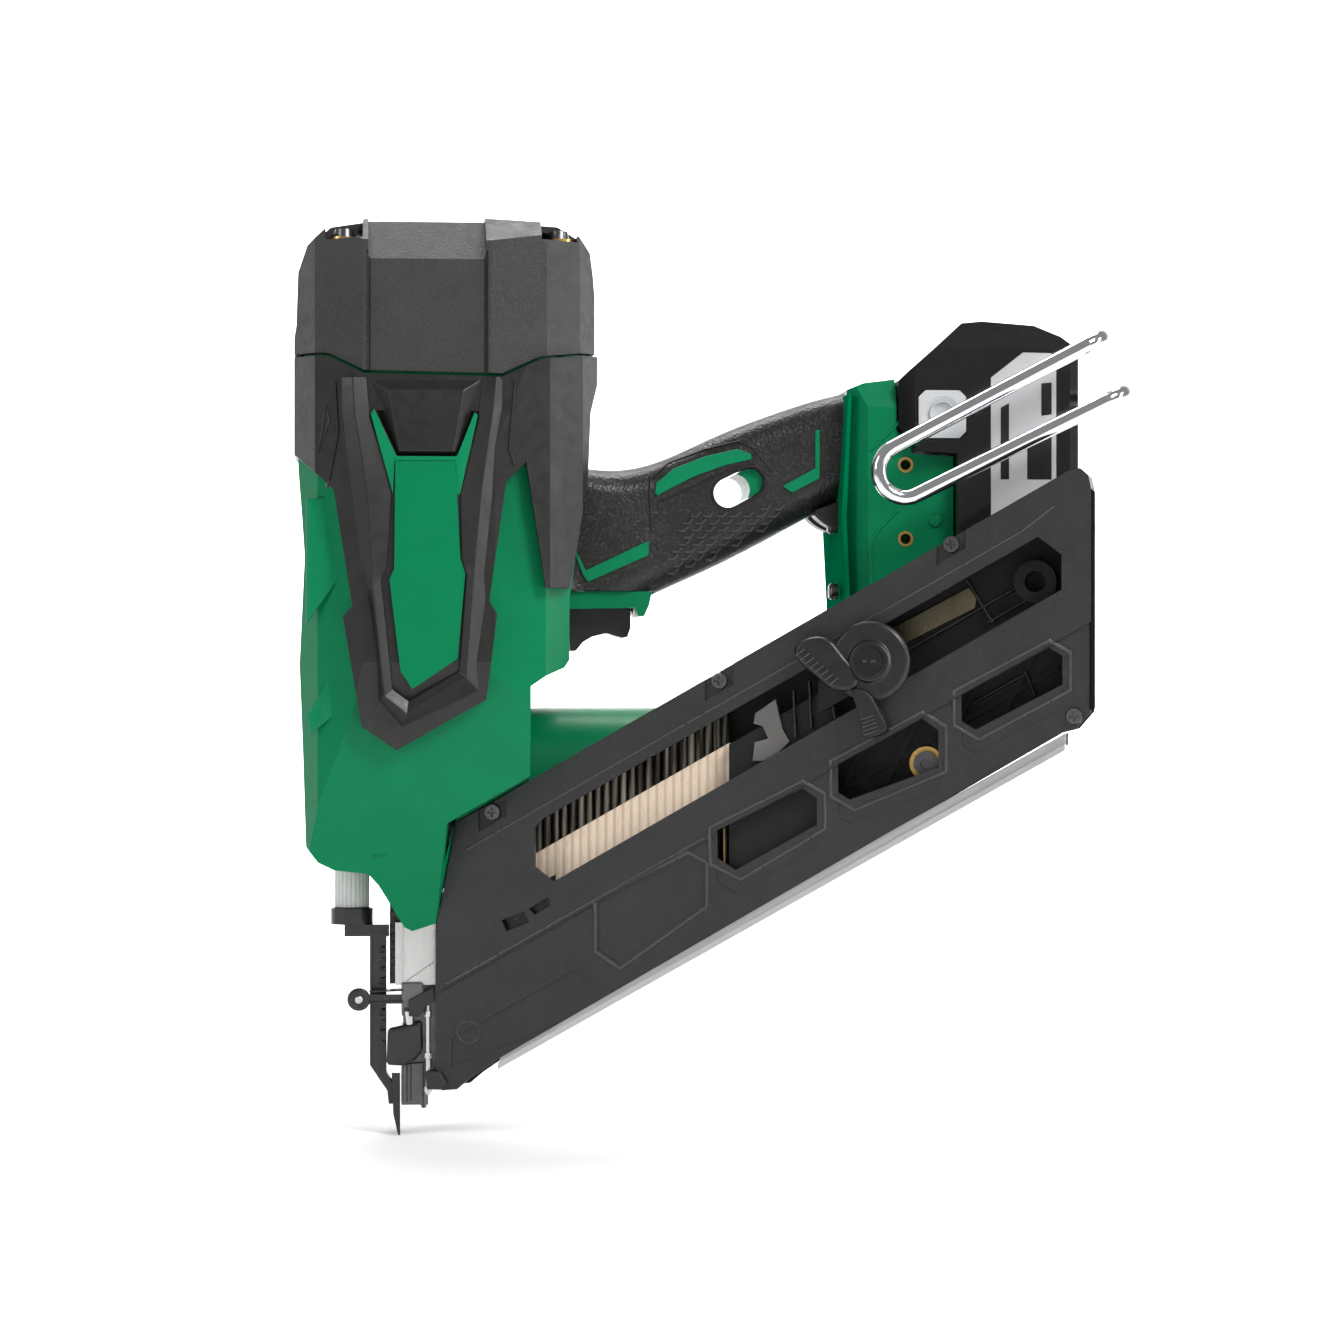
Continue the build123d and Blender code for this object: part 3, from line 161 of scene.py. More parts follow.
def object_coords(tree, stretch=None, turn=0.0):
    """Coordinates fixed to the object, in metres, stretched or turned about Z when asked."""
    source = tree.nodes.new("ShaderNodeTexCoord").outputs["Object"]
    if stretch or turn:
        mapping = tree.nodes.new("ShaderNodeMapping")
        mapping.inputs["Scale"].default_value = stretch or (1, 1, 1)
        mapping.inputs["Rotation"].default_value = (0, 0, turn)
        tree.links.new(source, mapping.inputs["Vector"])
        source = mapping.outputs["Vector"]
    return source


def noise(tree, scale, detail=3.0, stretch=None):
    """Cloudy noise over the object; scale is in features per metre."""
    made = tree.nodes.new("ShaderNodeTexNoise")
    made.inputs["Scale"].default_value = scale
    made.inputs["Detail"].default_value = detail
    tree.links.new(object_coords(tree, stretch), made.inputs["Vector"])
    return made.outputs["Fac"]


def ramp(tree, source, low, high, start=0.3, end=0.7):
    """Two colours, or two greys, over a source value."""
    made = tree.nodes.new("ShaderNodeValToRGB")
    for element, place, value in zip(made.color_ramp.elements, (start, end), (low, high)):
        element.position = place
        element.color = (*value, 1) if isinstance(value, tuple) else (value, value, value, 1)
    tree.links.new(source, made.inputs["Fac"])
    return made.outputs["Color"]


def blend_colours(tree, factor, first, second):
    """A mix of two colours, each given as a tuple or as a socket."""
    mix = tree.nodes.new("ShaderNodeMix")
    mix.data_type = "RGBA"
    tree.links.new(factor, mix.inputs["Factor"])
    for socket, value in ((mix.inputs[6], first), (mix.inputs[7], second)):
        if isinstance(value, tuple):
            socket.default_value = (*value, 1)
        else:
            tree.links.new(value, socket)
    return mix.outputs[2]


def add_bump(tree, shader, height, strength, distance):
    """Relief from a height; distance is its depth in metres."""
    bump = tree.nodes.new("ShaderNodeBump")
    bump.inputs["Strength"].default_value = strength
    bump.inputs["Distance"].default_value = distance
    tree.links.new(height, bump.inputs["Height"])
    tree.links.new(bump.outputs["Normal"], shader.inputs["Normal"])


def surface(name, colour, rough, metallic=0.0, variation=0.1, grain=0.0, size=0.7, depth=0.05, stretch=None,
            coat=0.0, speckle_and_glint=0.0, specular=0.5):
    """A moulded, cast or ground surface, with grain of a size and a depth; speckle lightens the grain's
    raised tops, partly as flecks in the surface and partly as painted highlight where the grain catches
    light.
    """
    mat, tree, shader = new_material(name)
    shader.inputs["Metallic"].default_value = metallic
    shader.inputs["Coat Weight"].default_value = coat
    shader.inputs["Coat Roughness"].default_value = 0.08
    shader.inputs["Specular IOR Level"].default_value = specular
    dark = tuple(c * (1 - variation) for c in colour)
    light = tuple(min(1.0, c * (1 + variation)) for c in colour)
    tint = ramp(tree, noise(tree, 40.0, 4.0), dark, light)
    fine = noise(tree, 1000.0 / size, 2.0, stretch)
    # Painted highlight: the grain's raised tops are lightened, partly flecks in the surface and partly
    # light caught on the grain.
    if speckle_and_glint:
        tops = ramp(tree, fine, 0.0, 1.0, 0.5, 0.72)
        tint = blend_colours(tree, tops, tint, tuple(min(1.0, c + speckle_and_glint) for c in colour))
    tree.links.new(tint, shader.inputs["Base Color"])
    gloss = ramp(tree, noise(tree, 220.0, 5.0, stretch), rough * 0.85, rough * 1.2)
    tree.links.new(gloss, shader.inputs["Roughness"])
    if grain:
        add_bump(tree, shader, fine, grain, depth * MM)
    return mat


def kraft_paper(name):
    """Kraft tape pressed over the nails, so that it shows a faint line for each: a slight ridge, and darker
    bands of painted shade along the nails.
    """
    mat, tree, shader = new_material(name)
    wave = tree.nodes.new("ShaderNodeTexWave")
    wave.bands_direction = "X"
    # At scale 1 the bands of this texture repeat every 2 pi / 20.
    wave.inputs["Scale"].default_value = 2 * math.pi / (20 * NAIL_PITCH * MM)
    wave.inputs["Distortion"].default_value = 0.4
    tree.links.new(object_coords(tree, turn=MAG_YAW), wave.inputs["Vector"])
    # Painted shade: the darker bands in the colour stand for the shade along each nail under the tape; the
    # bump below gives the ridges.
    lines = ramp(tree, wave.outputs["Fac"], (0.62, 0.47, 0.33), (0.84, 0.70, 0.56), 0.05, 0.5)
    fibres = ramp(tree, noise(tree, 900.0, 4.0, (1, 1, 0.25)), 0.0, 1.0, 0.45, 0.7)
    tint = blend_colours(tree, fibres, lines, (0.74, 0.59, 0.45))
    tree.links.new(tint, shader.inputs["Base Color"])
    shader.inputs["Roughness"].default_value = 0.85
    add_bump(tree, shader, wave.outputs["Fac"], 0.5, 0.25 * MM)
    return mat


def nail_wire(name):
    """Dark coated wire with streaks along it: their light end in the colour is painted highlight of bright
    steel, and they also vary the roughness and relief.
    """
    mat, tree, shader = new_material(name)
    streak_and_gleam = noise(tree, 500.0, 2.0, (1, 1, 0.05))
    # Painted highlight: the light streaks in the colour stand for gleam along the wire.
    tint = ramp(tree, streak_and_gleam, (0.025, 0.022, 0.018), (0.30, 0.27, 0.22), 0.4, 0.72)
    tree.links.new(tint, shader.inputs["Base Color"])
    shader.inputs["Metallic"].default_value = 0.75
    tree.links.new(ramp(tree, streak_and_gleam, 0.26, 0.42), shader.inputs["Roughness"])
    add_bump(tree, shader, streak_and_gleam, 0.3, 0.03 * MM)
    return mat


def make_materials():
    """Every slot of the record, and finer finishes for single pieces."""
    rubber = (0.010, 0.0095, 0.009)
    return {
        "green_housing": surface("green_housing", (0.0004, 0.168, 0.066), 0.34, variation=0.04,
                                 grain=0.35, size=0.5, depth=0.03, specular=0.13),
        "green_insert": surface("green_insert", (0.0005, 0.19, 0.078), 0.4, variation=0.05, grain=0.4,
                                size=0.5, specular=0.15),
        "black_rubber": surface("black_rubber", rubber, 0.4, variation=0.25, grain=0.6, size=0.6,
                                depth=0.06, specular=0.42),
        "grip_rubber": surface("grip_rubber", rubber, 0.34, variation=0.2, grain=1.0, size=1.2,
                               depth=0.3, speckle_and_glint=0.02, specular=0.42),
        "grip_scale": surface("grip_scale", (0.05, 0.049, 0.047), 0.35, variation=0.1, grain=0.4,
                              size=0.6),
        "cap_plastic": surface("cap_plastic", (0.034, 0.034, 0.0332), 0.44, variation=0.12, grain=1.0,
                               size=0.8, depth=0.13, speckle_and_glint=0.014, specular=0.3),
        "magazine_plastic": surface("magazine_plastic", (0.019, 0.0195, 0.0205), 0.4, variation=0.14,
                                    grain=0.8, size=0.6, depth=0.07, speckle_and_glint=0.008, specular=0.4),
        "frame_plastic": surface("frame_plastic", (0.008, 0.008, 0.0082), 0.45, variation=0.14,
                                 grain=0.6, size=0.6, depth=0.06, specular=0.25),
        # Painted highlight: a lighter grey for the magazine cover's rims and lines, for the light caught on
        # those edges.
        "magazine_rim_highlight": surface("magazine_rim_highlight", (0.042, 0.042, 0.043), 0.3, variation=0.1, grain=0.5,
                                size=0.6),
        "black_plastic": surface("black_plastic", (0.009, 0.009, 0.0092), 0.34, grain=0.5, size=0.6,
                                 specular=0.45),
        "pack_plastic": surface("pack_plastic", (0.006, 0.006, 0.0065), 0.18, grain=0.15, size=0.5,
                                coat=0.3, specular=0.45),
        "latch_grey": surface("latch_grey", (0.50, 0.51, 0.52), 0.4, variation=0.03, grain=0.3, size=0.5),
        "label_silver": surface("label_silver", (0.50, 0.50, 0.51), 0.34, metallic=0.2, variation=0.04,
                                grain=0.1),
        "label_black": surface("label_black", (0.010, 0.010, 0.011), 0.3, variation=0.1, grain=0.15,
                               specular=0.4),
        "white_plastic": surface("white_plastic", (0.60, 0.61, 0.60), 0.33, variation=0.03, grain=0.2,
                                 size=0.5),
        "zinc_screw": surface("zinc_screw", (0.13, 0.13, 0.135), 0.28, metallic=0.9, grain=0.4, size=0.3),
        "brass": surface("brass", (0.62, 0.40, 0.13), 0.28, metallic=1.0, grain=0.3, size=0.3),
        "chrome": surface("chrome", (0.74, 0.75, 0.77), 0.1, metallic=1.0, variation=0.03, grain=0.05,
                          size=2.0),
        "black_steel": surface("black_steel", (0.035, 0.034, 0.032), 0.3, metallic=0.6, grain=0.5,
                               size=0.8, coat=0.15),
        "worn_steel": surface("worn_steel", (0.16, 0.155, 0.15), 0.36, metallic=0.8, variation=0.2,
                              grain=0.6, size=0.9),
        "steel": surface("steel", (0.60, 0.60, 0.59), 0.26, metallic=0.95, variation=0.05, grain=0.15,
                         size=1.5, stretch=(1, 1, 0.15)),
        "rail_steel": surface("rail_steel", (0.50, 0.50, 0.50), 0.34, metallic=0.7, variation=0.02,
                              grain=0.1, size=2.0),
        "green_matt": surface("green_matt", (0.0004, 0.15, 0.06), 0.7, variation=0.04, grain=0.3,
                              specular=0.0),
        "black_matt": surface("black_matt", (0.008, 0.008, 0.008), 0.7, variation=0.1, grain=0.3,
                              specular=0.0),
        "nail_steel": nail_wire("nail_steel"),
        "spring_steel": surface("spring_steel", (0.42, 0.42, 0.44), 0.25, metallic=1.0, grain=0.2,
                                size=0.4),
        "cast_aluminium": surface("cast_aluminium", (0.5, 0.51, 0.52), 0.42, metallic=1.0, grain=0.9,
                                  size=0.9, depth=0.1),
        "copper_winding": surface("copper_winding", (0.5, 0.2, 0.07), 0.35, metallic=0.7, grain=0.9,
                                  size=0.8, stretch=(0.05, 1, 1)),
        "board": surface("board", (0.01, 0.12, 0.05), 0.3, grain=0.3, size=1.5),
        "cell_wrap": surface("cell_wrap", (0.03, 0.14, 0.4), 0.3, variation=0.05, grain=0.1),
        "rubber": surface("rubber", (0.02, 0.02, 0.02), 0.7, grain=0.6, size=0.8),
        "paper_tape": kraft_paper("paper_tape"),
        "gilt_wire": surface("gilt_wire", (0.42, 0.31, 0.12), 0.32, metallic=0.7, variation=0.3,
                             grain=0.3, size=0.8),
        "worn_gilt": surface("worn_gilt", (0.16, 0.14, 0.09), 0.28, metallic=0.9, variation=0.35,
                             grain=0.5, size=2.0, stretch=(1, 1, 0.3)),
    }


# ---- where things are --------------------------------------------------------------------------
def side_name(side):
    """The word for a side in the names of its pieces; the left side is 1 and the right side is -1."""
    return "left" if side > 0 else "right"


def side_place(side):
    """Maps (x, z, depth) to metres, with depth outwards from the middle plane, left (1) or right (-1)."""
    return lambda x, z, depth: Vector((x * MM, -side * depth * MM, z * MM))


def on_surface(side, node, fallback, yawed=False):
    """Depth is measured from a node's own face; fallback is the face's depth where the node has a hole."""
    tree = BVHTree.FromObject(NODES[node], bpy.context.evaluated_depsgraph_get())
    plain = magazine_place if yawed else side_place(side)
    outside, hole = 200, 6      # where the rays start, and how much further in than the fallback is a hole
    known = {}

    def place(a, b, depth):
        spot = (round(a, 2), round(b, 2))
        if spot not in known:
            start, inward = plain(a, b, outside), plain(a, b, 0) - plain(a, b, outside)
            reach = tree.ray_cast(start, inward.normalized())[3]
            found = outside - reach / MM if reach else fallback
            known[spot] = found if found > fallback - hole else fallback
        return plain(a, b, known[spot] + depth)
    return place


def magazine_face():
    """How far out the cover's face lies from the magazine's middle plane."""
    vertices = NODES["magazine_cover"].data.vertices
    return max(-v.co.y * math.cos(MAG_YAW) - v.co.x * math.sin(MAG_YAW) for v in vertices) / MM


def magazine_place(u, z, n):
    """From distance along the magazine, height, and distance out from its middle plane."""
    return Vector((
        (u * math.cos(MAG_YAW) - n * math.sin(MAG_YAW)) * MM,
        (-u * math.sin(MAG_YAW) - n * math.cos(MAG_YAW)) * MM,
        z * MM,
    ))


def cover_place(u, z, out):
    """Like magazine_place, but measured out from the cover's near face."""
    return magazine_place(u, z, COVER_NEAR + out)


def nose_place(x, y, z):
    """From the object's own axes in mm to metres."""
    return Vector((x * MM, y * MM, z * MM))


# ---- mesh helpers ------------------------------------------------------------------------------
def add_object(name, bm, material, body):
    """Turn a bmesh into a piece of a body, with the material that it takes its finish from."""
    bmesh.ops.remove_doubles(bm, verts=bm.verts, dist=1e-6)
    bmesh.ops.recalc_face_normals(bm, faces=bm.faces)
    mesh = bpy.data.meshes.new(name)
    bm.to_mesh(mesh)
    bm.free()
    mesh.materials.append(MATERIALS[material])
    made = bpy.data.objects.new(name, mesh)
    bpy.context.scene.collection.objects.link(made)
    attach(made, body)
    return made


def finish_edges(thing, width, segments=2, angle=30.0):
    """Round the hard edges and shade the rest smooth."""
    if width:
        bevel = thing.modifiers.new("edges", "BEVEL")
        bevel.width = width * MM
        bevel.segments = segments
        bevel.limit_method = "ANGLE"
        bevel.angle_limit = math.radians(angle)
        bevel.use_clamp_overlap = True
    for face in thing.data.polygons:
        face.use_smooth = True
    smooth = thing.modifiers.new("normals", "WEIGHTED_NORMAL")
    smooth.keep_sharp = True


def rounded(outline, times=2):
    """Cut the corners of an outline again and again, which rounds it."""
    for _ in range(times):
        cut = []
        for (ax, ay), (bx, by) in zip(outline, outline[1:] + outline[:1]):
            cut.append((ax * 0.75 + bx * 0.25, ay * 0.75 + by * 0.25))
            cut.append((ax * 0.25 + bx * 0.75, ay * 0.25 + by * 0.75))
        outline = cut
    return outline


def circle(centre, radius, count):
    """Evenly spaced points of a circle."""
    angles = (2 * math.pi * k / count for k in range(count))
    return [(centre[0] + radius * math.cos(a), centre[1] + radius * math.sin(a)) for a in angles]


def between(a, b, share):
    """The point at a share of the way from a to b."""
    return a[0] + (b[0] - a[0]) * share, a[1] + (b[1] - a[1]) * share


def dense(path, step=2.0):
    """The same path with points no further apart than the step."""
    points = [path[0]]
    for a, b in zip(path, path[1:]):
        count = max(1, round(math.dist(a, b) / step))
        points += [between(a, b, k / count) for k in range(1, count + 1)]
    return points


def slab_into(bm, outline, low, high, place, draft=0.0):
    """A closed outline made solid between two depths; draft pulls the outer face in, in millimetres."""
    centre = sum((Vector(p) for p in outline), Vector((0, 0))) / len(outline)
    near = [bm.verts.new(place(a, b, low)) for a, b in outline]
    far = []
    for point in outline:
        pull = Vector(point) - centre
        point = centre + pull * (1 - draft / max(pull.length, draft + 0.01))
        far.append(bm.verts.new(place(point.x, point.y, high)))
    bm.faces.new(near)
    bm.faces.new(far[::-1])
    for i, vertex in enumerate(near):
        j = (i + 1) % len(near)
        bm.faces.new((vertex, far[i], far[j], near[j]))


def frustum(name, base, top, low, high, place, material, body, bevel=0.3):
    """A raised form between a base outline and a smaller top outline with as many points."""
    bm = bmesh.new()
    near = [bm.verts.new(place(a, b, low)) for a, b in base]
    middle = [bm.verts.new(place(a, b, low + (high - low) * 0.45)) for a, b in base]
    far = [bm.verts.new(place(a, b, high)) for a, b in top]
    bm.faces.new(near)
    bm.faces.new(far[::-1])
    for one, two in ((near, middle), (middle, far)):
        for i in range(len(one)):
            j = (i + 1) % len(one)
            bm.faces.new((one[i], two[i], two[j], one[j]))
    made = add_object(name, bm, material, body)
    finish_edges(made, bevel, 3)
    return made


def slab(name, outline, low, high, place, material, body, bevel=0.4, segments=3, draft=0.0):
    """A piece that is an outline made solid."""
    bm = bmesh.new()
    slab_into(bm, outline, low, high, place, draft)
    made = add_object(name, bm, material, body)
    finish_edges(made, bevel, segments)
    return made


def join_rings(bm, rings, closed=False):
    """Faces between rings of as many vertices each, round again when closed, else shut at both ends."""
    pairs = list(zip(rings, rings[1:] + rings[:1])) if closed else list(zip(rings, rings[1:]))
    for one, two in pairs:
        for i in range(len(one)):
            j = (i + 1) % len(one)
            bm.faces.new((one[i], one[j], two[j], two[i]))
    if not closed:
        bm.faces.new(rings[0])
        bm.faces.new(rings[-1][::-1])


def normals_along(path, closed):
    """The mitre direction at each point of a flat path."""
    result = []
    count = len(path)
    for i, point in enumerate(path):
        before = path[i - 1] if (i or closed) else point
        after = path[(i + 1) % count] if (i < count - 1 or closed) else point
        one, two = Vector(point) - Vector(before), Vector(after) - Vector(point)
        sides = [Vector((-v.y, v.x)).normalized() for v in (one, two) if v.length > 0]
        middle = sum(sides, Vector((0, 0))).normalized()
        result.append(middle / max(0.5, middle.dot(sides[0])))
    return result


def ridge_into(bm, path, width, low, high, place, closed=False, top=0.5):
    """A raised line along a path, with sloped flanks."""
    rings = []
    for point, normal in zip(path, normals_along(path, closed)):
        ring = []
        for across, depth in ((-1, low), (-top, high), (top, high), (1, low)):
            spot = Vector(point) + normal * across * width / 2
            ring.append(bm.verts.new(place(spot.x, spot.y, depth)))
        rings.append(ring)
    join_rings(bm, rings, closed)


def ridges(name, paths, width, low, high, place, material, body, closed=False, bevel=0.12):
    """A piece made of raised lines."""
    bm = bmesh.new()
    for path in paths:
        ridge_into(bm, path, width, low, high, place, closed)
    made = add_object(name, bm, material, body)
    finish_edges(made, bevel, 2)
    return made


def turned_into(bm, centre, profile, place, sides=48):
    """A turned shape: a profile of (radius, depth) swept round a centre, closed at both ends."""
    rings = []
    for radius, depth in profile:
        rings.append([bm.verts.new(place(a, b, depth)) for a, b in circle(centre, radius, sides)])
    join_rings(bm, rings)


def turned(name, centre, profile, place, material, body, bevel=0.2):
    """A piece that is one turned shape."""
    bm = bmesh.new()
    turned_into(bm, centre, profile, place)
    made = add_object(name, bm, material, body)
    finish_edges(made, bevel, 2)
    return made


def band(name, rails, base, place, material, body, bevel=0.35):
    """A raised band through rails of (x, z, depth); base is how deep its hidden back lies."""
    bm = bmesh.new()
    stations = []
    for points in zip(*rails):
        ring = [bm.verts.new(place(x, z, depth)) for x, z, depth in points]
        ring.append(bm.verts.new(place(points[-1][0], points[-1][1], base)))
        ring.append(bm.verts.new(place(points[0][0], points[0][1], base)))
        stations.append(ring)
    join_rings(bm, stations)
    made = add_object(name, bm, material, body)
    finish_edges(made, bevel, 3, 14.0)
    return made


# ---- the CAD nodes -----------------------------------------------------------------------------
EDGE_WIDTHS = {
    "cap": 1.3, "head_shell_left": 1.2, "head_shell_right": 1.2, "head_armour_left": 1.2,
    "head_armour_right": 1.2, "badges": 0.9, "base_left": 1.4, "base_right": 1.4, "battery_case": 1.8,
    "battery_cover": 1.6, "magazine_cover": 0.8, "magazine_frame": 0.5, "trigger": 1.4,
    "trigger_housing": 1.0, "screws": 0.25, "washers": 0.2, "battery_latch_left": 1.0,
    "battery_latch_right": 1.0, "motor_case_left": 0.9, "motor_case_right": 0.9, "nose_body": 0.5,
    "probe_arm": 0.5, "probe_guide": 0.5, "trigger_lock": 0.8,
}
NO_BEVEL = ("nail_strip", "hook", "paper_tape", "handle_left", "handle_right")
PLAIN_EDGE = 0.3
# pusher_spring takes the near-black frame plastic in place of steel: painted shade, for the dark hollow of
# the magazine it lies in.
OWN_MATERIALS = {
    "handle_left": "grip_rubber", "handle_right": "grip_rubber", "nose_body": "worn_steel",
    "magazine_rail": "rail_steel", "magazine_frame": "frame_plastic", "pusher_spring": "frame_plastic",
    "pusher": "frame_plastic",
}


def dress_nodes():
    """Every CAD node gets its material and rounded edges."""
    slots = {part["node"]: part["material_slot"] for part in frame["record"]["subparts"]}
    for name, thing in NODES.items():
        material = OWN_MATERIALS.get(name, slots[name])
        thing.data.materials.clear()
        thing.data.materials.append(MATERIALS[material])
        finish_edges(thing, 0.0 if name in NO_BEVEL else EDGE_WIDTHS.get(name, PLAIN_EDGE))


# ---- head --------------------------------------------------------------------------------------
def armour_surface(z):
    """How far out the side armour's face lies at a height; it leans in above and below its middle."""
    face = -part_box("head_armour_left")[0][1] / MM
    straight_low, straight_high, lean_below, lean_above = 182.0, 262.0, 0.19, 0.077
    if z > straight_high:
        return face - (z - straight_high) * lean_above
    if z < straight_low:
        return face - (straight_low - z) * lean_below
    return face


# Outlines on a side are points (x, z) seen from that side; those of the magazine are (along it, z).
FRAME_INNER = [(-18.8, 288.6), (-17.5, 275.5), (-9.2, 244.0), (-10.9, 218.3), (-13.1, 213.0), (-9.0, 172.1),
               (-3.0, 167.6), (15.6, 178.6), (17.9, 213.8), (16.0, 218.8), (16.2, 244.1), (22.9, 274.0),
               (24.7, 288.9)]
FRAME_RIDGE = [(-23.8, 288.6), (-23.2, 275.5), (-18.6, 246.0), (-16.9, 218.3), (-16.4, 210.0),
               (-12.1, 169.4), (-3.6, 162.6), (18.2, 176.4), (21.0, 213.4), (21.4, 218.5), (24.0, 247.0),
               (28.4, 276.5), (29.9, 289.0)]
FRAME_OUTER = [(-28.0, 288.5), (-27.9, 276.4), (-24.2, 246.0), (-20.6, 218.5), (-18.6, 208.0),
               (-14.4, 168.0), (-5.4, 157.6), (23.6, 171.2), (26.2, 205.0), (25.6, 214.5), (28.7, 244.6),
               (32.3, 277.2), (32.8, 289.0)]
SHIELD_BASE = [(-19.4, 288.4), (25.6, 288.6), (15.2, 258.9), (-7.8, 258.9)]
SHIELD_TOP = [(-10.5, 283.3), (17.4, 283.4), (13.6, 260.8), (-6.2, 260.8)]
PRONGS = [(-17.2, 274.6), (-15.9, 276.5), (-7.6, 258.9), (14.9, 258.9), (21.5, 275.4), (22.7, 274.3),
          (16.0, 244.6), (14.6, 244.6), (14.2, 257.0), (-8.0, 257.0), (-8.9, 244.5)]

FACETS = (
    ([(-40.7, 162.2), (-32.6, 176.3), (-30.8, 162.2), (-39.4, 155.0)],
     [(-37.0, 163.5), (-34.2, 170.0), (-34.0, 163.0), (-37.0, 160.0)]),
    ([(-41.2, 243.5), (-33.6, 244.5), (-28.6, 214.1), (-41.2, 196.5)],
     [(-39.6, 240.5), (-35.2, 241.0), (-31.0, 216.0), (-39.6, 203.5)]),
)


def dress_head(side):
    """The angular frame round a badge, its shield and green prongs, and lines and facets beside it."""
    place = side_place(side)
    tag = side_name(side)
    face = armour_surface(220)
    ridge_top, base = face + 2.6, face - 9
    ridge = []
    for x, z in FRAME_RIDGE:
        lean, end_slope = face - armour_surface(max(z, 182)), max(0.0, z - 280) * 0.24
        ridge.append((x, z, ridge_top - lean - end_slope))
    rails = [
        [(x, z, armour_surface(max(z, 190)) + 0.5) for x, z in FRAME_INNER],
        ridge,
        [(x, z, armour_surface(z) - 0.4) for x, z in FRAME_OUTER],
    ]
    band(f"armour_frame_{tag}", rails, base, place, "black_rubber", "tool")
    frustum(f"armour_shield_{tag}", SHIELD_BASE, SHIELD_TOP, face - 6.5, face + 1.4, place, "black_rubber",
            "tool", 0.4)
    slab(f"green_prongs_{tag}", PRONGS, face - 5, face + 0.9, place, "green_insert", "tool", 0.35, 3)
    skin = on_surface(side, f"head_armour_{tag}", 40.0)
    slits = [[(-33.9, 278.7), (-32.6, 272.8), (-36.9, 260.5), (-35.3, 268.7)]]
    ridges(f"armour_slit_{tag}", slits, 0.7, -0.5, 0.4, skin, "grip_scale", "tool", True)
    edges = [[(36.8, 288.0), (34.6, 262.0), (43.6, 232.0), (46.8, 212.5)],
             [(-30.6, 287.5), (-29.4, 268.0), (-33.4, 247.5)]]
    ridges(f"armour_edges_{tag}", [dense(path, 3.0) for path in edges], 1.3, -0.8, 0.6, skin,
           "black_rubber", "tool")
    shell = on_surface(side, f"head_shell_{tag}", 36.0)
    for number, (base_line, top_line) in enumerate(FACETS, start=1):
        frustum(f"green_facet_{number}_{tag}", base_line, top_line, -1.2, 0.9, shell, "green_insert",
                "tool", 0.5)


def dress_magazine_end():
    """A matt skin on the magazine's rear end."""
    slab("magazine_end_skin", [(261.0, 164.5), (261.8, 164.5), (261.8, 246.5), (261.0, 246.5)], -10.4, 13.6,
         magazine_place, "black_matt", "tool", 0.2, 2)


def dress_front():
    """A small plain raised mark low on the head's left face."""
    place = side_place(1)
    marks = [[(-20.5, 112.5), (-18.3, 112.5)], [(-16.6, 110.4), (-16.6, 114.0), (-13.0, 114.0)],
             [(-11.2, 110.4), (-11.2, 114.0)], [(-16.6, 108.6), (-11.2, 108.6)]]
    ridges("small_mark", marks, 0.5, 20, 27.6, place, "green_insert", "tool")


# ---- handle ------------------------------------------------------------------------------------
UPPER_INSERT = [(91.9, 247.2), (92.5, 250.9), (99.5, 256.8), (111.4, 261.4), (124.0, 264.3), (129.2, 262.3),
                (129.4, 260.3), (118.8, 257.8), (106.9, 253.5), (96.6, 248.2), (93.0, 246.1)]
REAR_INSERT = [(154.1, 271.8), (155.9, 271.8), (155.9, 253.0), (145.1, 247.4), (141.4, 250.0),
               (154.1, 257.0)]
FRONT_INSERT = [(58.9, 230.1), (65.2, 217.3), (89.5, 228.8), (89.5, 223.2), (66.3, 212.9), (64.1, 215.7)]
SCALE_ZONE = [(104.5, 239.5), (95.5, 216.5), (103.9, 217.0), (127.0, 228.5), (141.8, 239.0), (139.0, 243.0),
              (121.0, 238.5)]
RIM_LINE = [(90.6, 232.8), (89.9, 247.5), (90.6, 253.2), (97.5, 259.3), (111.4, 264.4), (124.7, 267.4),
            (129.9, 264.7), (137.3, 255.9)]
INNER_LINE = [(94.3, 243.9), (106.9, 249.8), (118.5, 255.2), (130.2, 258.9), (136.0, 254.6)]


def inside(point, outline):
    """Whether a point lies in an outline."""
    x, y = point
    crossings = 0
    for (ax, ay), (bx, by) in zip(outline, outline[1:] + outline[:1]):
        if (ay > y) != (by > y) and x < ax + (y - ay) * (bx - ax) / (by - ay):
            crossings += 1
    return crossings % 2 == 1


LOCK_CENTRE = Vector((124.6, 249.4))


def slot_rim():
    """An oblong round the lock's slot, parallel to the handle's slope."""
    along, radius, half_length, steps = Vector((math.cos(GRIP_TILT), math.sin(GRIP_TILT))), 6.3, 4.7, 12
    points = []
    for end in (0, 1):
        middle = LOCK_CENTRE + (1 - 2 * end) * half_length * along
        for step in range(steps + 1):
            angle = GRIP_TILT - math.pi / 2 + math.pi * (end + step / steps)
            points.append((middle.x + radius * math.cos(angle), middle.y + radius * math.sin(angle)))
    return points


def padlock(x, z, shackle_shift):
    """The outline of a small lock: a body and its shackle."""
    body = [(x, z), (x + 2.8, z), (x + 2.8, z + 2.0), (x, z + 2.0), (x, z)]
    arc = [(x + 1.4 + shackle_shift - math.cos(a), z + 2.0 + 1.3 * math.sin(a))
           for a in (math.pi * k / 6 for k in range(7))]
    return [body, arc]


def grip_strokes():
    """Short bent strokes in staggered rows, where the grip has its scales."""
    strokes = []
    for row in range(10):
        for column in range(12):
            x, z = 92 + column * 5.1 + (row % 2) * 1.9 - row * 0.2, 216.2 + row * 2.75
            if inside((x + 1.5, z + 0.5), SCALE_ZONE):
                strokes.append([(x, z), (x + 2.4, z), (x + 4.1, z + 1.9)])
    return strokes


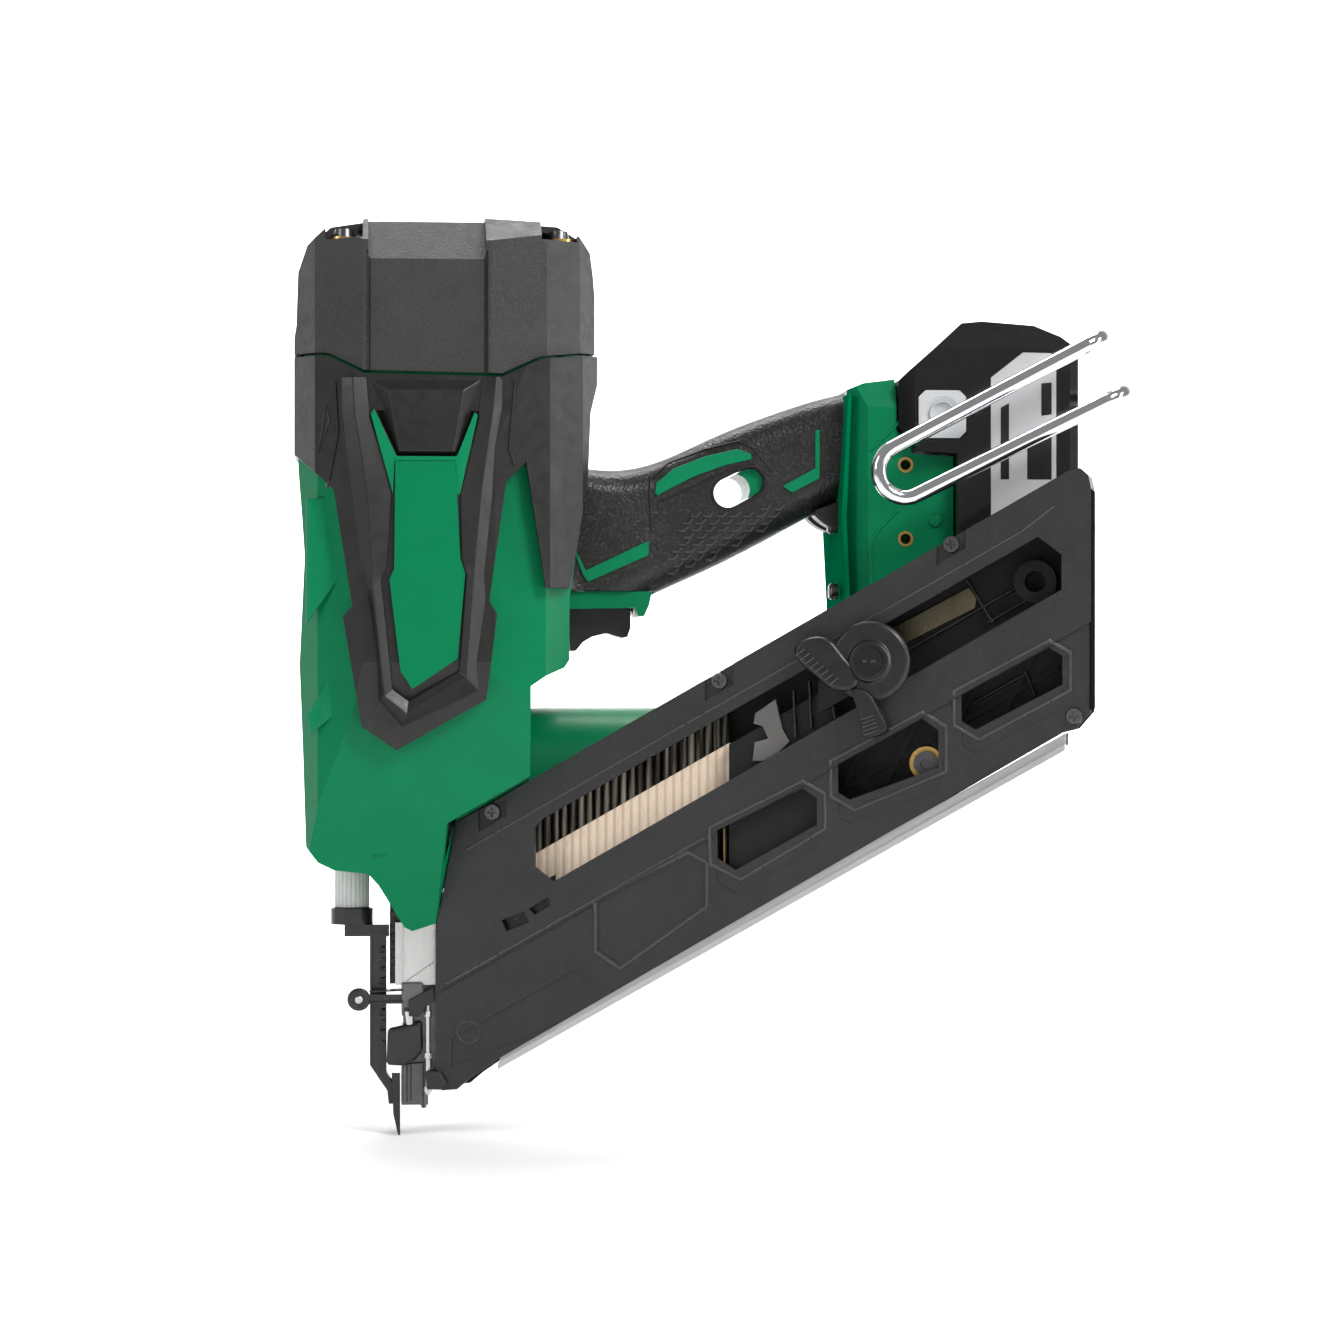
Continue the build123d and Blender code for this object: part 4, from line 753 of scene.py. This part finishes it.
def dress_handle(side):
    """Green insets, small scales, fine lines and a collar on one half of the handle."""
    tag = side_name(side)
    place = on_surface(side, f"handle_{tag}", 17.0)
    for name, outline in (("upper", UPPER_INSERT), ("rear", REAR_INSERT), ("front", FRONT_INSERT)):
        slab(f"handle_insert_{name}_{tag}", dense(outline + outline[:1], 3.0)[:-1], -2.5, 0.9, place,
             "green_insert", "tool", 0.4, 3)
    ridges(f"grip_scales_{tag}", grip_strokes(), 1.1, -0.8, 0.85, place, "grip_scale", "tool")
    rim = side_place(side)
    ridges(f"slot_rim_{tag}", [slot_rim()], 1.3, 15.5, 18.6, rim, "black_rubber", "tool", True)
    ridges(f"grip_lines_{tag}", [dense(RIM_LINE), dense(INNER_LINE)], 1.0, -1.0, 0.5, place, "black_rubber",
           "tool")
    locks = padlock(110.0, 236.2, 1.6) + padlock(135.6, 244.6, 0)
    ridges(f"lock_marks_{tag}", locks, 0.4, -1, 0.35, place, "grip_scale", "tool")
    collar = [(156.5, 236.0), (163.8, 232.6), (166.8, 236.0), (166.8, 246.0), (160.5, 243.2),
              (152.5, 240.6)]
    slab(f"handle_collar_{tag}", rounded(collar, 2), 6, 17.6, rim, "black_rubber", "tool", 1.6, 4)


# ---- battery and base --------------------------------------------------------------------------
LABEL = [(219.3, 290.9), (231.7, 300.6), (242.6, 300.4), (244.6, 298.4), (244.6, 224.0), (219.3, 224.0)]


def dress_battery(side):
    """A plain silver label with dark bands on each side of the pack."""
    place = side_place(side)
    tag = side_name(side)
    face = -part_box("battery_case")[0][1] / MM
    slab(f"pack_label_{tag}", LABEL, face - 1, face + 0.25, place, "label_silver", "battery", 0.12, 2)
    bands = [[(238.8, 288.8), (242.8, 289.2), (242.8, 277.0), (238.8, 276.4)],
             [(233.4, 268.6), (242.8, 272.0), (242.8, 252.0), (233.4, 252.0)],
             [(223.1, 279.4), (226.3, 281.2), (226.3, 252.0), (223.1, 252.0)]]
    for number, outline in enumerate(bands, start=1):
        slab(f"label_band_{number}_{tag}", outline, face - 0.5, face + 0.4, place, "label_black", "battery",
             0.08, 2)


def dress_pack_back():
    """Moulded ribs on the pack's rear face."""
    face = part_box("battery_case")[1][0] / MM

    def place(y, z, depth):
        return nose_place(face + depth, y, z)

    rim = [(-26, 212), (26, 212), (26, 262), (20, 268), (-20, 268), (-26, 262)]
    ridges("pack_frame_rib", [rim], 1.6, -0.4, 0.8, place, "pack_plastic", "battery", True, bevel=0.25)
    bars = [[(-15, z), (15, z)] for z in range(275, 295, 5)]
    bars += [[(y, 214), (y, 266)] for y in (-9, 9)]
    ridges("pack_bars", bars, 1.6, -0.4, 0.8, place, "pack_plastic", "battery", bevel=0.25)


def dress_latch(side):
    """A raised ring on the release button's face."""
    tag = side_name(side)
    low, high = (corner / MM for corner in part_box(f"battery_latch_{tag}"))
    place, (x, z) = side_place(side), ((low.x + high.x) / 2, (low.z + high.z) / 2)
    face, reach = max(-low.y * side, -high.y * side), (high.x - low.x) / 2
    ring = circle((x, z), reach * 0.52, 40)
    ridges(f"latch_ring_{tag}", [ring], 0.7, face - 0.6, face + 0.35, place, "latch_grey", f"latch_{tag}",
           True)


def dress_base(side):
    """A small boss and moulded creases on one side of the battery base."""
    place = side_place(side)
    tag = side_name(side)
    face = min(-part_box("base_left")[0][1] / MM, BASE_HALF)
    turned(f"base_boss_{tag}", (199.1, 236.2), [(2.4, face - 1), (2.2, face + 0.9), (1.4, face + 1.1)],
           place, "green_housing", "tool")
    creases = [[(184.6, 240.5), (177.2, 233.1), (173.8, 227.1), (173.8, 205)],
               [(173.8, 263), (185.4, 274.4), (189.5, 263)]]
    ridges(f"base_creases_{tag}", creases, 2.2, face - 2, face + 0.5, place, "green_housing", "tool",
           bevel=0.4)


def dress_base_front():
    """A matt skin on the base's front face, and two screw heads that stand out of it."""
    front = BASE_FRONT
    outline = [(front - 0.3, 200.0), (front - 0.3, 205.0), (front - 2.0, 238.0), (front + 0.5, 285.0),
               (front + 2.0, 285.0), (front, 238.0), (front + 1.5, 200.0)]
    slab("base_front_skin", outline, -28.8, 28.8, side_place(1), "green_matt", "tool", 0.3, 2)
    head = [(3.2, 2.0), (3.2, 4.6), (2.4, 5.6), (1.0, 5.2)]
    for number, (z, y) in enumerate(((235.0, -13.0), (209.4, -17.0)), start=1):
        turned(f"base_screw_{number}", (y, z), head, lambda a, b, out: nose_place(front - out, a, b),
               "zinc_screw", "tool")


# ---- magazine ----------------------------------------------------------------------------------
PADDLE = [(150.6, 186.3), (152.8, 190.2), (159.9, 192.8), (166.3, 190.9), (169.1, 187.4), (177.2, 177.2),
          (175.8, 171.6), (171.3, 170.5), (165.6, 171.2), (159.9, 176.1), (153.9, 181.0)]
TAB = [(172.7, 173.3), (179.8, 172.2), (184.3, 164.8), (187.6, 157.5), (186.1, 155.3), (179.8, 152.9),
       (176.4, 154.7), (177.2, 160.6), (174.4, 166.5)]
CLAW = [(134.8, 162.8), (142.8, 168.4), (145.4, 156.9), (148.2, 151.9), (140.8, 144.6), (133.8, 144.5),
        (134.6, 151.9), (139.8, 153.3), (137.8, 157.8), (134.2, 158.8)]


def ladder(ends, count):
    """Short parallel lines between two rails, each rail given by its first and last point."""
    (a, b), (c, d) = ends
    return [[between(a, c, k / (count - 1)), between(b, d, k / (count - 1))] for k in range(count)]


def dress_lever():
    """The thumb lever: a disc, a ribbed paddle and a ribbed tab, in place of the plain CAD lever."""
    knob = (180.0, 182.3)
    profile = [(3.7, 4), (15, 4), (15, 7.4), (13.6, 8.5), (8.2, 8.5), (7.2, 9.9), (3.7, 9.9)]
    disc = turned("thumb_disc", knob, profile, cover_place, "black_plastic", "pusher_lever", 0.4)
    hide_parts("pusher_lever")
    slab("thumb_paddle", rounded(PADDLE), 4.2, 10.2, cover_place, "black_plastic", "pusher_lever", 1.7, 4,
         0.8)
    slab("thumb_tab", rounded(TAB), 3.0, 10.6, cover_place, "black_plastic", "pusher_lever", 1.7, 4, 0.8)
    paddle_ribs = ladder([((152.6, 184.4), (155.9, 186.8)), ((165.2, 173.6), (168.6, 176.2))], 8)
    tab_ribs = ladder([((176.9, 160.6), (181.6, 162.2)), ((178.4, 155.0), (184.0, 156.8))], 5)
    ridges("thumb_ribs", paddle_ribs + tab_ribs, 1.0, 8, 11.2, cover_place, "grip_scale", "pusher_lever",
           bevel=0.2)
    head = [(3.5, 7), (3.5, 10.6), (2.9, 11.3), (2.5, 11.3)]
    turned("thumb_screw", knob, head, cover_place, "zinc_screw", "pusher_lever")
    cross = []
    for x, z in ((1.6, 0.9), (-0.9, 1.6)):
        cross.append([(knob[0] + x, knob[1] + z), (knob[0] - x, knob[1] - z)])
    ridges("thumb_screw_cross", cross, 0.7, 10.5, 11.45, cover_place, "label_black", "pusher_lever")


def dress_follower():
    """The bright claw and dark ribs on the follower, which show through the slot."""
    face = 8.0
    slab("follower_claw", CLAW, face - 1, face + 1.6, magazine_place, "worn_steel", "pusher", 0.4, 3)
    bars = [[(149.6, 171.4), (150.4, 153.6)], [(155.6, 175.0), (156.4, 157.2)],
            [(162.0, 178.6), (165.5, 160.5)]]
    ridges("follower_ribs", bars, 1.6, face - 1, face + 2.2, magazine_place, "black_steel", "pusher",
           bevel=0.25)


def dress_track():
    """What the cover's openings show: a worn strip, slanting ribs and a black sheet of painted shade behind
    the gauge slots; and its foot.
    """
    strip = [(184.3, 194.7), (214.4, 210.7), (217.4, 206.1), (216.7, 202.5), (189.4, 188.9)]
    slab("track_strip", strip, -8.5, -6.9, magazine_place, "worn_gilt", "tool", 0.3, 2)
    ribs = [[(190.0, 186.0), (232.0, 209.9)], [(213.6, 213.3), (223.4, 197.0)],
            [(221.5, 197.0), (247.5, 212.0)], [(235.7, 178.6), (239.4, 169.8)],
            [(216.0, 166.5), (236.5, 178.0)]]
    ridges("track_ribs", ribs, 1.4, -8.6, -5.6, magazine_place, "magazine_plastic", "tool")
    # Painted shade: a black sheet behind the gauge slots, which are dark with shade.
    slot_shade = [(36, 77), (36, 90), (58, 101), (58, 84)]
    slab("gauge_backing", slot_shade, 9.0, 10.4, magazine_place, "label_black", "tool", 0.2, 2)
    foot = [(8.0, 25.5), (13.8, 25.5), (16.5, 20.5), (14.0, 18.4), (8.6, 18.4)]
    slab("cover_foot", foot, 8, 15.4, magazine_place, "magazine_plastic", "tool", 0.6, 3)


WINDOW_RIMS = [
    [(153.5, 137.4), (162.0, 132.6), (162.0, 119.4), (129.8, 100.0), (118.2, 105.6), (118.2, 119.6)],
    [(198.7, 163.6), (207.6, 158.0), (207.6, 141.2), (173.2, 126.6), (164.2, 131.4), (164.2, 145.0)],
    [(246.0, 190.2), (253.8, 185.6), (253.8, 171.6), (219.6, 153.2), (210.6, 158.4), (210.6, 171.4)],
    [(109.9, 110.0), (117.0, 106.2), (117.0, 89.6), (83.6, 65.6), (74.0, 72.0), (74.0, 91.0)],
]


def dress_cover():
    """Raised rims round the cover's openings, and moulded lines along its top and its step, in a grey
    lighter than the cover as painted highlight along those edges.
    """
    place = on_surface(1, "magazine_cover", magazine_face() - 1.2, yawed=True)
    rims = [dense(rim + rim[:1], 4.0)[:-1] for rim in WINDOW_RIMS]
    ridges("window_rims", rims, 1.9, -0.6, 0.5, place, "magazine_rim_highlight", "tool", True, bevel=0.25)
    top = 120.6 - 20 * RISE     # the cover's top edge, carried on to the start of the magazine
    lines = [[(24, top + 24 * RISE - 12.5), (236, top + 236 * RISE - 12.5), (248, top + 248 * RISE - 10)],
             [(16, 58.8), (116, 58.8 + 100 * RISE)]]
    ridges("cover_lines", [dense(line, 4.0) for line in lines], 1.2, -0.6, 0.3, place, "magazine_rim_highlight",
           "tool", bevel=0.25)
    round_mark = circle((24.5, 40.5), 4.2, 32)
    ridges("cover_ring", [round_mark], 0.8, -0.5, 0.3, place, "magazine_rim_highlight", "tool", True)
    nails = [[(u, 104.4 + (u - 121) * RISE), (u, 118.0 + (u - 121) * RISE)] for u in (122.6, 124.8, 127.4)]
    ridges("gilt_nails", nails, 1.0, 5.6, 7.0, magazine_place, "gilt_wire", "tool")


# ---- motor arm ---------------------------------------------------------------------------------
def dress_motor_ends():
    """A raised ring on each round end of the green arm."""
    low, high = (corner / MM for corner in map(Vector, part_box("motor_case_right")))
    centre = (low.y, (low.z + high.z) / 2)
    gear_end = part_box("gear_case")[0][0] / MM
    profile = [(22.0, -0.3), (22.0, 0.5), (21.2, 0.9), (19.6, 0.9), (18.8, 0.3), (6.0, 0.3)]
    for name, face, way in (("motor_end_ring", high.x, 1), ("gear_end_ring", gear_end, -1)):
        turned(name, centre, profile, lambda y, z, out: nose_place(face + way * out, y, z),
               "green_housing", "tool", 0.15)


# ---- nose --------------------------------------------------------------------------------------
def dress_nose():
    """The plates, blocks, curved guide and pin on the nose's left side."""
    place = side_place(1)
    block = [(-5.1, 59.0), (3.1, 58.9), (3.1, 49.5), (-5.1, 49.5)]
    slab("nose_block", block, 9, 13.6, place, "worn_steel", "tool", 0.5)
    stay = [(-2.4, 52.5), (7.5, 57.7), (7.5, 51.7), (3.7, 49.7), (1.7, 46.2), (-2.4, 46.3)]
    slab("nose_stay", stay, 12.5, 15.4, place, "magazine_plastic", "tool", 0.4)
    post = [(-4.4, 50.1), (-0.3, 50.1), (-0.3, 39.8), (-3.1, 39.8)]
    slab("nose_post", post, 8, 11.6, place, "steel", "tool", 1.4, 4)
    wrap = [(-10.4, 41.4), (2.8, 44.4), (3.2, 32.7), (0.4, 29.3), (-4.4, 26.9), (-10.9, 27.3)]
    slab("nose_wrap", wrap, 8.75, 12.0, place, "black_steel", "tool", 1.6, 5)
    channel = [(-4.4, 27.4), (3.9, 28.1), (4.5, 10.5), (2.8, 10.2), (1.8, 12.6), (-4.4, 12.7)]
    slab("nose_channel", channel, 7.2, 9.0, place, "worn_steel", "tool", 0.5)
    flutes = [[(-3.0, 27), (-3.0, 12.8)], [(-1.5, 27), (-1.5, 12.8)], [(3.2, 27), (3.2, 11)]]
    ridges("nose_flutes", flutes, 0.8, 7, 9.7, place, "black_steel", "tool")
    stop = [[(-4.6, 58.4), (-4.6, 84)], [(-4.6, 58.4), (7.0, 66.5)]]
    ridges("nose_stop", stop, 0.9, 9, 11.3, place, "steel", "tool")
    bm = bmesh.new()
    pin, sides = (5.0, -13.2), 20
    turned_into(bm, pin, [(0.9, 16.0), (0.9, 55.0)], nose_place, sides)
    for z in (17, 30, 46, 52):
        turned_into(bm, pin, [(1.5, z), (1.5, z + 2.2)], nose_place, sides)
    finish_edges(add_object("nose_pin", bm, "steel", "tool"), 0.15)


def dress_guide():
    """The notched bar behind the contact arm, and the guide bar's flanges and round end."""
    place = side_place(1)
    bar = [(-9.6, 58.0), (-4.9, 58.0), (-4.9, 92.4), (-9.6, 92.4)]
    slab("rack_bar", bar, 2.0, 5.2, place, "black_steel", "tool", 0.3)
    notches = [[(-9.2, z), (-7.4, z), (-7.4, z + 3.2), (-9.2, z + 3.2)] for z in range(62, 88, 6)]
    ridges("rack_steps", notches, 0.8, 4.4, 6.4, place, "black_steel", "tool", True, bevel=0.15)
    low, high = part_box("probe_guide")
    centre = (low[0] / MM + 3.1, low[2] / MM + 4.8)
    washer = [(4.4, 9), (4.4, 14.0), (3.9, 14.8), (2.6, 14.8), (2.2, 14.2), (1.0, 14.4)]
    turned("guide_washer", centre, washer, place, "black_steel", "tool", 0.3)
    turned("guide_pin", centre, [(1.5, 14.0), (1.5, 14.9), (1.1, 15.2)], place, "steel", "tool", 0.1)
    flanges = [[(-17.5, 55.8), (-4.4, 56.2)], [(-17.5, 51.6), (-4.4, 52.0)]]
    ridges("guide_flanges", flanges, 1.1, 10, 14.2, place, "black_steel", "tool")


def dress_probe():
    """A rib and teeth on the contact arm, and the neck under the depth wheel."""
    place = side_place(1)
    ridges("probe_edge", [[(-16.6, 28), (-16.6, 76)]], 1.0, 6, 8.2, place, "black_steel", "probe")
    teeth = [[(-12.6, z), (-10.9, z)] for z in range(36, 74, 4)]
    ridges("probe_rack", teeth, 1.5, 6.5, 8.6, place, "black_steel", "probe", bevel=0.2)
    low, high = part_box("depth_adjuster")
    centre = ((low[0] + high[0]) / 2 / MM, (low[1] + high[1]) / 2 / MM)
    bottom = low[2] / MM
    neck = [(6.0, bottom - 3), (7.2, bottom - 0.5), (7.2, bottom - 0.15), (3.2, bottom - 0.15)]
    turned("probe_neck", centre, neck, nose_place, "black_steel", "probe", 0.2)


def dress_spring():
    """The contact arm's return spring: a wire coil in place of the CAD spring."""
    low, high = (corner / MM for corner in map(Vector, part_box("probe_spring")))
    middle, length = (low + high) / 2, high.z - low.z
    wire, turns, steps, sides = 0.5, 5, 28, 10
    radius = (high.x - low.x) / 2 - wire
    bm = bmesh.new()
    rings = []
    for step in range(turns * steps + 1):
        angle = 2 * math.pi * step / steps
        height = low.z + wire + (length - 2 * wire) * step / (turns * steps)
        ring = []
        for reach, rise in circle((radius, height), wire, sides):
            spot = (middle.x + reach * math.cos(angle), middle.y + reach * math.sin(angle), rise)
            ring.append(bm.verts.new(nose_place(*spot)))
        rings.append(ring)
    join_rings(bm, rings)
    coil = add_object("probe_coil", bm, "steel", "tool")
    finish_edges(coil, 0)
    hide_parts("probe_spring")
    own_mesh(coil)


MATERIALS = make_materials()
add_camera()
add_studio()
add_floor()
dress_nodes()
for half in (1, -1):
    dress_head(half)
    dress_handle(half)
    dress_battery(half)
    dress_latch(half)
    dress_base(half)
dress_front()
dress_magazine_end()
dress_base_front()
dress_lever()
dress_follower()
dress_track()
dress_cover()
dress_pack_back()
dress_motor_ends()
dress_nose()
dress_guide()
dress_probe()
dress_spring()
